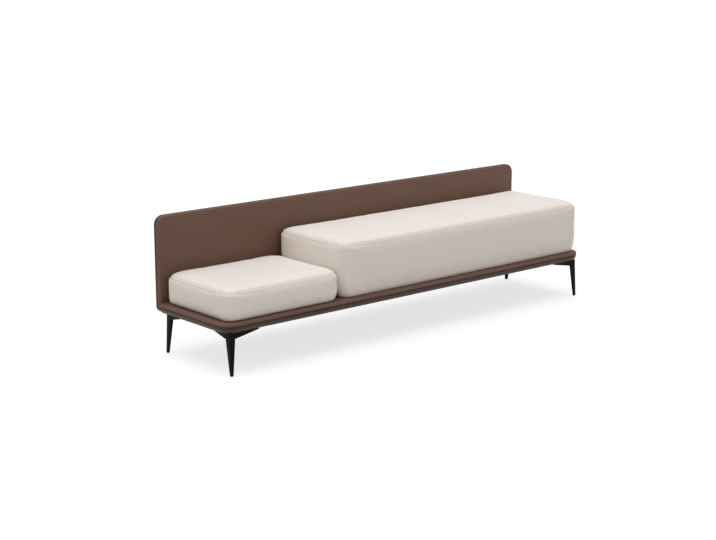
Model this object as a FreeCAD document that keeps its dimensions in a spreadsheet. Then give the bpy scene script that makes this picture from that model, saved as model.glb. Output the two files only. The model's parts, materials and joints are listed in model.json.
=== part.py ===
"""Bed bench: a leather base and back panel on four corner legs, with two loose leather cushions.

Millimetres. X runs along the bench, Y from the front to the back panel, Z up from the floor.
"""
import FreeCAD
import Part
import Sketcher
import math
import os
import re

Vector = FreeCAD.Vector

# Driving sizes: name, millimetres, what it measures
SIZES = (
    ("bench_length", 1800, "overall length"),
    ("bench_depth", 425, "overall depth, front edge to rear of the back panel"),
    ("bench_height", 500, "floor to the top of the back panel"),
    ("base_underside", 150, "floor to the underside of the base"),
    ("base_thickness", 36, "underside of the base to the top of its cover"),
    ("base_corner_radius", 50, "front corners of the base, seen from above"),
    ("base_edge_round", 9, "rounding along the top edge of the base"),
    ("band_top_inset", 1.5, "lower edge band, set back at the seam"),
    ("band_bottom_inset", 9, "lower edge band, set back at the underside"),
    ("leather_thickness", 1.5, "all leather covers"),
    ("welt_diameter", 4, "cord in the seam round the base and the panel"),
    ("deck_thickness", 12, "plywood deck"),
    ("deck_inset", 12, "deck, set back from the edge of the base"),
    ("base_pad_thickness", 3, "pad between deck and cover"),
    ("dust_cover_thickness", 0.5, "cloth under the base"),
    ("dust_cover_inset", 16, "dust cover, set back from the edge of the base"),
    ("frame_inset", 24, "steel frame, set back from the edge of the base"),
    ("rail_width", 40, "width of the frame's tubes"),
    ("rail_wall", 1.5, "wall of the frame's tubes"),
    ("cross_rail_width", 30, "width of the cross tubes"),
    ("corner_block_size", 76, "side of the cast corner blocks"),
    ("spigot_length", 25, "tongue of a corner block inside a tube"),
    ("fit_clearance", 0.1, "tongues, threads and stems in their holes"),
    ("hole_clearance", 0.2, "loose holes round screws and bolts"),
    ("deck_screw_diameter", 4, "deck screws, shank"),
    ("deck_screw_head", 8, "deck screws, head"),
    ("deck_screw_head_height", 3, "deck screws, head height"),
    ("deck_screw_reach", 3, "deck screws, past the wall of the tube"),
    ("panel_thickness", 30, "back panel, front cover to rear cover"),
    ("panel_top_radius", 35, "upper corners of the panel"),
    ("panel_foot_radius", 22, "lower corners of the panel"),
    ("panel_edge_round", 10, "rounding round the panel's front and rear edges"),
    ("panel_pad_thickness", 10, "pad in front of the board"),
    ("board_thickness", 15, "plywood board of the panel"),
    ("board_inset", 9, "board, set back from the edge of the panel"),
    ("upright_width", 40, "steel uprights in the panel"),
    ("upright_thickness", 6, "steel uprights in the panel"),
    ("upright_height", 270, "steel uprights in the panel"),
    ("upright_foot_inset", 5, "foot of the uprights above the underside"),
    ("panel_bolt_diameter", 6, "bolts through the rear rail into the uprights"),
    ("panel_bolt_head", 10, "the same, head"),
    ("panel_bolt_head_height", 6, "the same, head height"),
    ("panel_bolt_spacing", 24, "two bolts side by side on each upright"),
    ("spacer_diameter", 14, "sleeves round the bolts, rail to upright"),
    ("board_screw_diameter", 5, "screws through the board into the uprights"),
    ("board_screw_head", 10, "the same, head"),
    ("board_screw_head_height", 3, "the same, head height"),
    ("leg_end_inset", 24, "outer corner of a leg's top, from the end of the bench"),
    ("leg_front_inset", 12, "outer corner of a front leg's top, from the front of the base"),
    ("leg_rear_inset", 6, "outer corner of a rear leg's top, from the rear of the base"),
    ("leg_plate_size", 76, "leg plate under the base"),
    ("leg_plate_thickness", 4, "leg plate under the base"),
    ("wing_reach_long", 126, "wing of a leg along the bench"),
    ("wing_reach_short", 100, "wing of a leg towards the other leg of its end"),
    ("wing_depth", 22, "wing, where it meets the leg"),
    ("wing_tip_depth", 4, "wing, at its tip"),
    ("wing_thickness", 6, "wing, across"),
    ("flange_width", 26, "leg's angle section at the top"),
    ("flange_thickness", 10, "leg's angle section at the top"),
    ("ridge_chamfer", 1.2, "flat down the leg's outer ridge, at the top"),
    ("foot_width", 9.2, "leg's section at the foot"),
    ("foot_flange", 8.4, "leg's flanges at the foot"),
    ("foot_chamfer", 0.8, "flat down the leg's outer ridge, at the foot"),
    ("foot_end_inset", 28, "middle of a foot from the end of the bench"),
    ("foot_front_inset", 8, "middle of a front foot from the front of the base"),
    ("foot_rear_inset", 2, "middle of a rear foot from the rear of the base"),
    ("glide_height", 2, "nylon glide under a foot"),
    ("glide_top_diameter", 9, "glide where it meets the leg"),
    ("glide_sole_diameter", 8, "glide on the floor"),
    ("glide_stem_diameter", 4, "stem of a glide in the leg"),
    ("glide_stem_length", 10, "stem of a glide in the leg"),
    ("leg_screw_diameter", 6, "screws of a leg, shank"),
    ("leg_screw_head", 12, "screws of a leg, head"),
    ("leg_screw_head_height", 3.5, "screws of a leg, head height"),
    ("leg_screw_bite", 14, "screws of a leg, inside the corner block"),
    ("cushion_end_inset", 12, "cushions at their widest, from the end of the base"),
    ("cushion_front_inset", 5, "cushions at their widest, from the front of the base"),
    ("cushion_rear_gap", 7, "cushions to the back panel"),
    ("cushion_gap", 5, "between the two cushions"),
    ("cushion_clearance", 0.3, "cushions above the base"),
    ("cushion_corner_radius", 50, "upright front corners of the cushions"),
    ("small_rear_radius", 44, "upright rear corners of the low cushion"),
    ("long_rear_radius", 32, "upright rear corners of the tall cushion"),
    ("small_cushion_length", 508, "low cushion along the bench"),
    ("small_seam_height", 94, "low cushion, underside to top seam"),
    ("long_seam_height", 188, "tall cushion, underside to top seam"),
    ("crown_height", 25, "top seam to the top of the crown"),
    ("crown_reach", 110, "from the top seam to where the crown is level"),
    ("seam_draw", 5, "sides drawn in at the top seam"),
    ("foot_draw", 12, "sides drawn in at the underside"),
    ("zip_tape_height", 30, "zip tape on the rear of a cushion"),
    ("zip_tape_thickness", 1, "zip tape on the rear of a cushion"),
    ("small_zip_end_gap", 91.5, "end of the low cushion to its zip"),
    ("long_zip_end_gap", 156, "end of the tall cushion to its zip"),
    ("zip_slider_width", 12, "zip slider along the zip"),
    ("zip_slider_height", 9, "zip slider across the zip"),
    ("zip_slider_thickness", 3, "zip slider off the tape"),
    ("zip_pull_length", 18, "pull tab below the slider"),
    ("zip_pull_width", 6, "pull tab"),
    ("zip_pull_thickness", 1.2, "pull tab"),
    ("zip_clearance", 0.2, "slider off the tape"),
    ("cut_overrun", 5, "how far cutting tools run past a face"),
)

doc = FreeCAD.newDocument("BedBench")
sheet = doc.addObject("Spreadsheet::Sheet", "Sheet")
for row, (alias, millimetres, note) in enumerate(SIZES, 1):
    sheet.set(f"A{row}", note)
    sheet.set(f"B{row}", str(millimetres))
    sheet.setAlias(f"B{row}", alias)
doc.recompute()

ALIASES = re.compile(r"\b(" + "|".join(alias for alias, _, _ in SIZES) + r")\b")
nodes = []

# Levels and faces that many pieces share, as formulas of the driving sizes
PANEL_FRONT = "(bench_depth / 2 - panel_thickness)"
PANEL_MIDDLE = "(bench_depth / 2 - panel_thickness / 2)"
BASE_TOP = "(base_underside + base_thickness)"
FRAME_BOTTOM = "(base_underside + dust_cover_thickness)"
DECK_TOP = f"({BASE_TOP} - leather_thickness - base_pad_thickness)"
DECK_BOTTOM = f"({DECK_TOP} - deck_thickness)"
RAIL_HEIGHT = f"({DECK_BOTTOM} - {FRAME_BOTTOM})"
SEAM_LEVEL = f"({DECK_BOTTOM} + welt_diameter / 2)"
CAP_BOTTOM = f"({DECK_BOTTOM} + welt_diameter)"
CAP_ROUND = f"min(base_edge_round; {BASE_TOP} - {CAP_BOTTOM} - leather_thickness / 2)"
HALF_PANEL = "(panel_thickness / 2 - welt_diameter / 2)"
PANEL_ROUND = f"min(panel_edge_round; {HALF_PANEL} - leather_thickness / 2)"
PAD_ROUND = f"min({PANEL_ROUND} - leather_thickness; panel_pad_thickness - leather_thickness / 2)"
BOARD_FRONT = f"({PANEL_FRONT} + leather_thickness + panel_pad_thickness)"
BOARD_REAR = f"({BOARD_FRONT} + board_thickness)"
FELT_THICKNESS = f"(bench_depth / 2 - leather_thickness - {BOARD_REAR})"
UPRIGHT_FRONT = f"({BOARD_FRONT} - upright_thickness)"
UPRIGHT_FOOT = "(base_underside + upright_foot_inset)"
RAIL_SPAN = "(bench_length / 2 - frame_inset - corner_block_size)"
REAR_RAIL_FRONT = f"({PANEL_FRONT} - rail_width)"
FRONT_RAIL_FRONT = "(-bench_depth / 2 + frame_inset)"
PLATE_BOTTOM = "(base_underside - leg_plate_thickness)"

# Places along the bench as shares of half the rails' length, and others chosen by hand
CROSS_RAIL_SHARES = (-0.5, 0, 0.5)
UPRIGHT_SHARES = (-0.75, -0.25, 0.25, 0.75)
DECK_SCREW_SHARES = (-0.9, -0.55, -0.15, 0.15, 0.55, 0.9)
PANEL_BOLT_LEVEL_SHARE = 0.6
BOARD_SCREW_SHARES = (0.2, 0.55, 0.9)
PLATE_CUT_SHARE = 0.45
LEG_SCREW_SHARES = ((0.72, 0.26), (0.26, 0.72), (0.55, 0.55))
BAND_LEVEL_SHARES = (0, 0.12, 0.45, 0.8, 1)
BAND_WIDEST_SHARE = 0.45
CROWN_REACH_SHARES = (0, 0.06, 0.16, 0.34, 0.6, 1)
CROWN_CORNER_SHARE = 0.6
CROWN_POWER = 6
DRAW_POWER = 2
ZIP_LEVEL_SHARE = 0.5


def bound(formula):
    """Give a formula in sheet names, ready to bind."""
    return ALIASES.sub(r"Sheet.\1", formula)


def size(formula):
    """Work a formula out in millimetres."""
    return float(sheet.evalExpression(bound(formula)))


def new_body(label):
    """Start a sub-part made of sketches and features."""
    body = doc.addObject("PartDesign::Body", label)
    body.Label = label
    nodes.append(body)
    return body


def new_feature(label, shape):
    """Add a sub-part whose shape comes from Part's own functions."""
    feature = doc.addObject("Part::Feature", label)
    feature.Label = label
    feature.Shape = shape
    feature.Placement = FreeCAD.Placement()
    nodes.append(feature)
    return feature


def place(node, x="0", y="0", z="0"):
    """Bind where a sub-part's own origin lies."""
    node.setExpression("Placement.Base.x", bound(x))
    node.setExpression("Placement.Base.y", bound(y))
    node.setExpression("Placement.Base.z", bound(z))


def new_sketch(body, role, offset="0"):
    """Attach a sketch to one of the body's own origin planes, moved along the plane's normal."""
    plane = next(item for item in body.Origin.OriginFeatures if item.Role == role)
    sketch = body.newObject("Sketcher::SketchObject", f"{body.Label}_sketch")
    sketch.AttachmentSupport = [(plane, "")]
    sketch.MapMode = "FlatFace"
    sketch.setExpression("AttachmentOffset.Base.z", bound(offset))
    return sketch


def fix(sketch, kind, formula, *where):
    """Add a sized constraint and bind it to its formula."""
    index = sketch.addConstraint(Sketcher.Constraint(kind, *where, size(formula)))
    sketch.setExpression(f"Constraints[{index}]", bound(formula))


def trace(sketch, sides, radii, ends=None):
    """Draw upright and level lines in turn, with rounded corners between them.

    sides holds ("x", formula) for an upright line and ("y", formula) for a level one. radii holds the
    radius after each side, or None for a sharp corner. ends gives the two loose ends of an open path.
    """
    count = len(sides)
    values = [size(formula) for _, formula in sides]

    def meeting(first, second):
        """Give the point where two sides cross."""
        x = values[first] if sides[first][0] == "x" else values[second]
        y = values[first] if sides[first][0] == "y" else values[second]
        return Vector(x, y, 0)

    def loose(side, formula):
        """Give the loose end of a side."""
        if sides[side][0] == "x":
            return Vector(values[side], size(formula), 0)
        return Vector(size(formula), values[side], 0)

    corners = [meeting(i, (i + 1) % count) for i in range(count if ends is None else count - 1)]
    if ends is None:
        spans = [(corners[i - 1], corners[i]) for i in range(count)]
    else:
        points = [loose(0, ends[0])] + corners + [loose(count - 1, ends[1])]
        spans = list(zip(points, points[1:]))
    turns = [size(radius) if radius else 0 for radius in radii]
    ways = [(stop - start).normalize() for start, stop in spans]
    lines = []
    for i, (start, stop) in enumerate(spans):
        before = turns[i - 1] if ends is None or i > 0 else 0
        after = turns[i] if i < len(turns) else 0
        line = Part.LineSegment(start + ways[i] * before, stop - ways[i] * after)
        lines.append(sketch.addGeometry(line, False))
        upright = sides[i][0] == "x"
        sketch.addConstraint(Sketcher.Constraint("Vertical" if upright else "Horizontal", lines[i]))
        fix(sketch, "DistanceX" if upright else "DistanceY", sides[i][1], lines[i], 1)
    for i, corner in enumerate(corners):
        following = (i + 1) % count
        if not radii[i]:
            sketch.addConstraint(Sketcher.Constraint("Coincident", lines[i], 2, lines[following], 1))
            continue
        centre = corner - ways[i] * turns[i] + ways[following] * turns[i]
        leave = corner - ways[i] * turns[i] - centre
        enter = corner + ways[following] * turns[i] - centre
        angles = [math.atan2(leave.y, leave.x), math.atan2(enter.y, enter.x)]
        leftward = ways[i].cross(ways[following]).z > 0
        first, last = angles if leftward else reversed(angles)
        if last < first:
            last += 2 * math.pi
        circle = Part.Circle(centre, Vector(0, 0, 1), turns[i])
        arc = sketch.addGeometry(Part.ArcOfCircle(circle, first, last), False)
        begin, end = (1, 2) if leftward else (2, 1)
        sketch.addConstraint(Sketcher.Constraint("Tangent", lines[i], 2, arc, begin))
        sketch.addConstraint(Sketcher.Constraint("Tangent", arc, end, lines[following], 1))
        fix(sketch, "Radius", radii[i], arc)
    if ends is not None:
        kinds = ["DistanceY" if sides[i][0] == "x" else "DistanceX" for i in (0, count - 1)]
        fix(sketch, kinds[0], ends[0], lines[0], 1)
        fix(sketch, kinds[1], ends[1], lines[-1], 2)


def rectangle(sketch, left, right, low, high):
    """Draw a sharp rectangle from four formulas."""
    trace(sketch, [("x", left), ("y", low), ("x", right), ("y", high)], [None] * 4)


def polygon(sketch, points):
    """Draw a closed outline of straight lines from pairs of formulas."""
    spots = [Vector(size(x), size(y), 0) for x, y in points]
    count = len(points)
    edges = [Part.LineSegment(spots[i], spots[(i + 1) % count]) for i in range(count)]
    lines = [sketch.addGeometry(edge, False) for edge in edges]
    for i in range(count):
        sketch.addConstraint(Sketcher.Constraint("Coincident", lines[i], 2, lines[(i + 1) % count], 1))
        fix(sketch, "DistanceX", points[i][0], lines[i], 1)
        fix(sketch, "DistanceY", points[i][1], lines[i], 1)


def circles(sketch, centres, diameter):
    """Draw circles of one diameter round pairs of formulas."""
    for x, y in centres:
        middle = Vector(size(x), size(y), 0)
        ring = sketch.addGeometry(Part.Circle(middle, Vector(0, 0, 1), size(diameter) / 2), False)
        fix(sketch, "DistanceX", x, ring, 3)
        fix(sketch, "DistanceY", y, ring, 3)
        fix(sketch, "Diameter", diameter, ring)


def pad(body, sketch, length, backwards=False):
    """Raise a sketch along its normal."""
    feature = body.newObject("PartDesign::Pad", f"{body.Label}_pad")
    feature.Profile = sketch
    feature.setExpression("Length", bound(length))
    feature.Reversed = backwards
    doc.recompute()
    return feature


def pocket(body, sketch, depth, forwards=False):
    """Cut a sketch into the body, against its normal unless forwards, and see that it cut something."""
    before = body.Shape.Volume
    feature = body.newObject("PartDesign::Pocket", f"{body.Label}_pocket")
    feature.Profile = sketch
    feature.setExpression("Length", bound(depth))
    feature.Reversed = forwards
    doc.recompute()
    if not body.Shape.Volume < before:
        raise RuntimeError(f"{feature.Label} cuts nothing")
    return feature


def loft(body, sketches, kind="PartDesign::AdditiveLoft"):
    """Join sketches by straight flanks."""
    feature = body.newObject(kind, f"{body.Label}_loft")
    feature.Profile = sketches[0]
    feature.Sections = sketches[1:]
    feature.Ruled = True
    doc.recompute()
    return feature


def round_edges(body, base, radius, wanted):
    """Fillet the edges of the base feature whose box passes the test."""
    names = [f"Edge{i}" for i, edge in enumerate(base.Shape.Edges, 1) if wanted(edge.BoundBox)]
    feature = body.newObject("PartDesign::Fillet", f"{body.Label}_round")
    feature.Base = (base, names)
    feature.setExpression("Radius", bound(radius))
    doc.recompute()
    return feature


def hollow(body, base, wall, opened):
    """Leave a wall of the given thickness, open at the faces whose box passes the test."""
    names = [f"Face{i}" for i, face in enumerate(base.Shape.Faces, 1) if opened(face.BoundBox)]
    feature = body.newObject("PartDesign::Thickness", f"{body.Label}_wall")
    feature.Base = (base, names)
    feature.Reversed = True
    feature.setExpression("Value", bound(wall))
    doc.recompute()
    return feature


def near(value, formula):
    """Say whether a measured place lies on the one that a formula gives."""
    return abs(value - size(formula)) < size("fit_clearance") / 2


def base_outline(sketch, inset, rear=PANEL_FRONT):
    """Draw the base as seen from above, set back from its edge, straight where it meets the panel."""
    corner = f"base_corner_radius - ({inset})"
    sides = [
        ("x", f"-bench_length / 2 + ({inset})"),
        ("y", f"-bench_depth / 2 + ({inset})"),
        ("x", f"bench_length / 2 - ({inset})"),
        ("y", rear),
    ]
    trace(sketch, sides, [corner, corner, None, None])


def panel_outline(sketch, inset):
    """Draw the back panel as seen from the front, set back from its edge."""
    foot = f"panel_foot_radius - ({inset})"
    top = f"panel_top_radius - ({inset})"
    sides = [
        ("x", f"-bench_length / 2 + ({inset})"),
        ("y", f"base_underside + ({inset})"),
        ("x", f"bench_length / 2 - ({inset})"),
        ("y", f"bench_height - ({inset})"),
    ]
    trace(sketch, sides, [foot, foot, top, top])


def base_plate(label, inset, bottom, height):
    """Make a plate with the base's outline."""
    body = new_body(label)
    sketch = new_sketch(body, "XY_Plane", bottom)
    base_outline(sketch, inset)
    return body, pad(body, sketch, height)


def panel_plate(label, inset, front, depth):
    """Make a plate with the panel's outline, from its front face backwards."""
    body = new_body(label)
    sketch = new_sketch(body, "XZ_Plane", f"-({front})")
    panel_outline(sketch, inset)
    return body, pad(body, sketch, depth, backwards=True)


def tube(label, along, start, length, across, width):
    """Make a frame tube along X or Y: where it starts, how long it is, and its span across."""
    body = new_body(label)
    role = "YZ_Plane" if along == "X" else "XZ_Plane"
    sketch = new_sketch(body, role, start if along == "X" else f"-({start})")
    bottom, top = FRAME_BOTTOM, DECK_BOTTOM
    rectangle(sketch, across, f"{across} + {width}", bottom, top)
    inner = (f"{across} + rail_wall", f"{across} + {width} - rail_wall")
    rectangle(sketch, *inner, f"{bottom} + rail_wall", f"{top} - rail_wall")
    pad(body, sketch, length, backwards=along == "Y")
    return body


def screw(spot, way, head, head_height, shank, reach):
    """Give one screw as a shape: the head ends at the spot and the shank runs on along the way."""
    head_shape = Part.makeCylinder(size(head) / 2, size(head_height), spot - way * size(head_height), way)
    shank_shape = Part.makeCylinder(size(shank) / 2, size(reach), spot, way)
    return head_shape.fuse(shank_shape).removeSplitter()


def spot(x, y, z):
    """Give a point from three formulas."""
    return Vector(size(x), size(y), size(z))


# Places that several pieces share
deck_screw_spots = [
    (f"{RAIL_SPAN} * {share}", y)
    for y in (f"{FRONT_RAIL_FRONT} + rail_width / 2", f"{REAR_RAIL_FRONT} + rail_width / 2")
    for share in DECK_SCREW_SHARES
]
upright_places = [f"{RAIL_SPAN} * {share}" for share in UPRIGHT_SHARES]
panel_bolt_level = f"({FRAME_BOTTOM} + {RAIL_HEIGHT} * {PANEL_BOLT_LEVEL_SHARE})"
panel_bolt_spots = [
    (f"{x} + panel_bolt_spacing / 2 * {side}", panel_bolt_level) for x in upright_places for side in (-1, 1)
]
board_screw_levels = [f"({UPRIGHT_FOOT} + upright_height * {share})" for share in BOARD_SCREW_SHARES]
board_screw_spots = [(x, level) for x in upright_places for level in board_screw_levels]
# The way inwards along X and along Y from each corner
CORNERS = {"front_left": (1, 1), "front_right": (-1, 1), "rear_left": (1, -1), "rear_right": (-1, -1)}


def from_end(inward, distance):
    """Give the X that lies a distance in from the end of the bench."""
    return f"({inward} * (({distance}) - bench_length / 2))"


def from_side(inward, from_front, from_rear):
    """Give the Y that lies a distance in from the front of the base, or from its rear."""
    if inward > 0:
        return f"(({from_front}) - bench_depth / 2)"
    return f"({PANEL_FRONT} - ({from_rear}))"


def leg_screw_spots(inward_x, inward_y):
    """Give the places of one leg's screws."""
    return [
        (
            from_end(inward_x, f"leg_end_inset + leg_plate_size * {along}"),
            from_side(inward_y, f"leg_front_inset + leg_plate_size * {across}",
                      f"leg_rear_inset + leg_plate_size * {across}"),
        )
        for along, across in LEG_SCREW_SHARES
    ]


def build_frame():
    """Make the steel frame of the base: rails, cross rails and corner blocks."""
    for label, y in (("base_rail_front", FRONT_RAIL_FRONT), ("base_rail_rear", REAR_RAIL_FRONT)):
        rail = tube(label, "X", f"-{RAIL_SPAN}", f"2 * {RAIL_SPAN}", y, "rail_width")
        sketch = new_sketch(rail, "XY_Plane", DECK_BOTTOM)
        row = [(f"{RAIL_SPAN} * {share}", f"{y} + rail_width / 2") for share in DECK_SCREW_SHARES]
        circles(sketch, row, "deck_screw_diameter + fit_clearance")
        pocket(rail, sketch, "rail_wall")
    sketch = new_sketch(rail, "XZ_Plane", f"-{PANEL_FRONT}")
    circles(sketch, panel_bolt_spots, "panel_bolt_diameter + hole_clearance")
    pocket(rail, sketch, "rail_width", forwards=True)
    side_start = f"({FRONT_RAIL_FRONT} + corner_block_size)"
    side_length = f"{PANEL_FRONT} - corner_block_size - {side_start}"
    tube("base_rail_left", "Y", side_start, side_length, "(-bench_length / 2 + frame_inset)", "rail_width")
    right = "(bench_length / 2 - frame_inset - rail_width)"
    tube("base_rail_right", "Y", side_start, side_length, right, "rail_width")
    cross_start = f"({FRONT_RAIL_FRONT} + rail_width)"
    cross_length = f"{REAR_RAIL_FRONT} - {cross_start}"
    for number, share in enumerate(CROSS_RAIL_SHARES, 1):
        label = f"base_cross_rail_{number}"
        cross = tube(label, "Y", cross_start, cross_length, "(-cross_rail_width / 2)", "cross_rail_width")
        place(cross, x=f"{RAIL_SPAN} * {share}")
    for name, (inward_x, inward_y) in CORNERS.items():
        build_corner_block(f"corner_block_{name}", inward_x, inward_y)


def build_corner_block(label, inward_x, inward_y):
    """Make one cast corner block, with a tongue in each of its two tubes and holes for a leg's screws."""
    body = new_body(label)
    edge_x = from_end(inward_x, "frame_inset")
    inner_x = from_end(inward_x, "frame_inset + corner_block_size")
    front = inward_y > 0
    edge_y = FRONT_RAIL_FRONT if front else PANEL_FRONT
    inner_y = f"({edge_y} + {inward_y} * corner_block_size)"
    sketch = new_sketch(body, "XY_Plane", FRAME_BOTTOM)
    corner = "base_corner_radius - frame_inset" if front else None
    sides = [("x", edge_x), ("y", edge_y), ("x", inner_x), ("y", inner_y)]
    trace(sketch, sides, [corner, None, None, None])
    pad(body, sketch, RAIL_HEIGHT)
    slack = "(rail_wall + fit_clearance)"
    far = f"(rail_width - {slack})"
    low = f"{FRAME_BOTTOM} + {slack}"
    high = f"{DECK_BOTTOM} - {slack}"
    sketch = new_sketch(body, "YZ_Plane", inner_x)
    tongue = [f"{edge_y} + {inward_y} * {step}" for step in (slack, far)]
    rectangle(sketch, *tongue, low, high)
    pad(body, sketch, "spigot_length", backwards=inward_x < 0)
    sketch = new_sketch(body, "XZ_Plane", f"-{inner_y}")
    tongue = [f"{edge_x} + {inward_x} * {step}" for step in (slack, far)]
    rectangle(sketch, *tongue, low, high)
    pad(body, sketch, "spigot_length", backwards=inward_y > 0)
    sketch = new_sketch(body, "XY_Plane", FRAME_BOTTOM)
    circles(sketch, leg_screw_spots(inward_x, inward_y), "leg_screw_diameter + fit_clearance")
    pocket(body, sketch, "leg_screw_bite + fit_clearance", forwards=True)


def build_base_covers():
    """Make the deck, the pads, the leather and the dust cover of the base."""
    body, _ = base_plate("base_deck", "deck_inset", DECK_BOTTOM, "deck_thickness")
    sketch = new_sketch(body, "XY_Plane", DECK_TOP)
    circles(sketch, deck_screw_spots, "deck_screw_diameter + hole_clearance")
    pocket(body, sketch, "deck_thickness")
    sketch = new_sketch(body, "XY_Plane", DECK_TOP)
    circles(sketch, deck_screw_spots, "deck_screw_head + hole_clearance")
    pocket(body, sketch, "deck_screw_head_height")

    pad_height = f"{BASE_TOP} - leather_thickness - {CAP_BOTTOM}"
    body, block = base_plate("base_pad", "leather_thickness", CAP_BOTTOM, pad_height)
    pad_top = f"{BASE_TOP} - leather_thickness"
    round_edges(body, block, f"{CAP_ROUND} - leather_thickness",
                lambda box: near(box.ZMin, pad_top) and not near(box.YMin, PANEL_FRONT))
    sketch = new_sketch(body, "XY_Plane", CAP_BOTTOM)
    base_outline(sketch, "deck_inset", f"{PANEL_FRONT} + cut_overrun")
    pocket(body, sketch, f"{DECK_TOP} - {CAP_BOTTOM}", forwards=True)

    body, block = base_plate("base_top_cover", "0", CAP_BOTTOM, f"{BASE_TOP} - {CAP_BOTTOM}")
    rounded = round_edges(body, block, CAP_ROUND,
                          lambda box: near(box.ZMin, BASE_TOP) and not near(box.YMin, PANEL_FRONT))
    hollow(body, rounded, "leather_thickness",
           lambda box: near(box.ZMax, CAP_BOTTOM) or near(box.YMin, PANEL_FRONT))

    body = new_body("base_edge_pad")
    loft(body, band_sketches(body, "leather_thickness", FRAME_BOTTOM, PANEL_FRONT))
    sketch = new_sketch(body, "XY_Plane", FRAME_BOTTOM)
    base_outline(sketch, "frame_inset", f"{PANEL_FRONT} + cut_overrun")
    pocket(body, sketch, RAIL_HEIGHT, forwards=True)

    body = new_body("base_edge_band")
    loft(body, band_sketches(body, "0", FRAME_BOTTOM, PANEL_FRONT))
    inner = band_sketches(body, "leather_thickness", FRAME_BOTTOM, f"{PANEL_FRONT} + cut_overrun")
    loft(body, inner, "PartDesign::SubtractiveLoft")

    body = new_body("base_welt")
    inset = "welt_diameter / 2"
    sides = [
        ("x", f"-bench_length / 2 + {inset}"),
        ("y", f"-bench_depth / 2 + {inset}"),
        ("x", f"bench_length / 2 - {inset}"),
    ]
    path = new_sketch(body, "XY_Plane", SEAM_LEVEL)
    corner = f"base_corner_radius - {inset}"
    trace(path, sides, [corner, corner], ends=(PANEL_FRONT, PANEL_FRONT))
    section = new_sketch(body, "XZ_Plane", f"-{PANEL_FRONT}")
    circles(section, [(sides[0][1], SEAM_LEVEL)], "welt_diameter")
    pipe(body, section, path)

    body, _ = base_plate("base_dust_cover", "dust_cover_inset", "base_underside", "dust_cover_thickness")
    sketch = new_sketch(body, "XY_Plane", FRAME_BOTTOM)
    spots = [place for corner in CORNERS.values() for place in leg_screw_spots(*corner)]
    circles(sketch, spots, "leg_screw_diameter + hole_clearance")
    pocket(body, sketch, "dust_cover_thickness")

    screws = [
        screw(spot(x, y, f"{DECK_TOP} - deck_screw_head_height"), Vector(0, 0, -1), "deck_screw_head",
              "deck_screw_head_height", "deck_screw_diameter",
              "deck_thickness - deck_screw_head_height + rail_wall + deck_screw_reach")
        for x, y in deck_screw_spots
    ]
    new_feature("deck_screws", Part.makeCompound(screws))


def band_sketches(body, extra, bottom, rear):
    """Draw the leaning edge of the base at the seam and at the underside."""
    low = new_sketch(body, "XY_Plane", bottom)
    base_outline(low, f"band_bottom_inset + {extra}", rear)
    high = new_sketch(body, "XY_Plane", DECK_BOTTOM)
    base_outline(high, f"band_top_inset + {extra}", rear)
    doc.recompute()
    return [low, high]


def pipe(body, section, path):
    """Sweep a section along a path."""
    doc.recompute()
    feature = body.newObject("PartDesign::AdditivePipe", f"{body.Label}_pipe")
    feature.Profile = section
    feature.Spine = path
    doc.recompute()
    return feature


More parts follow.
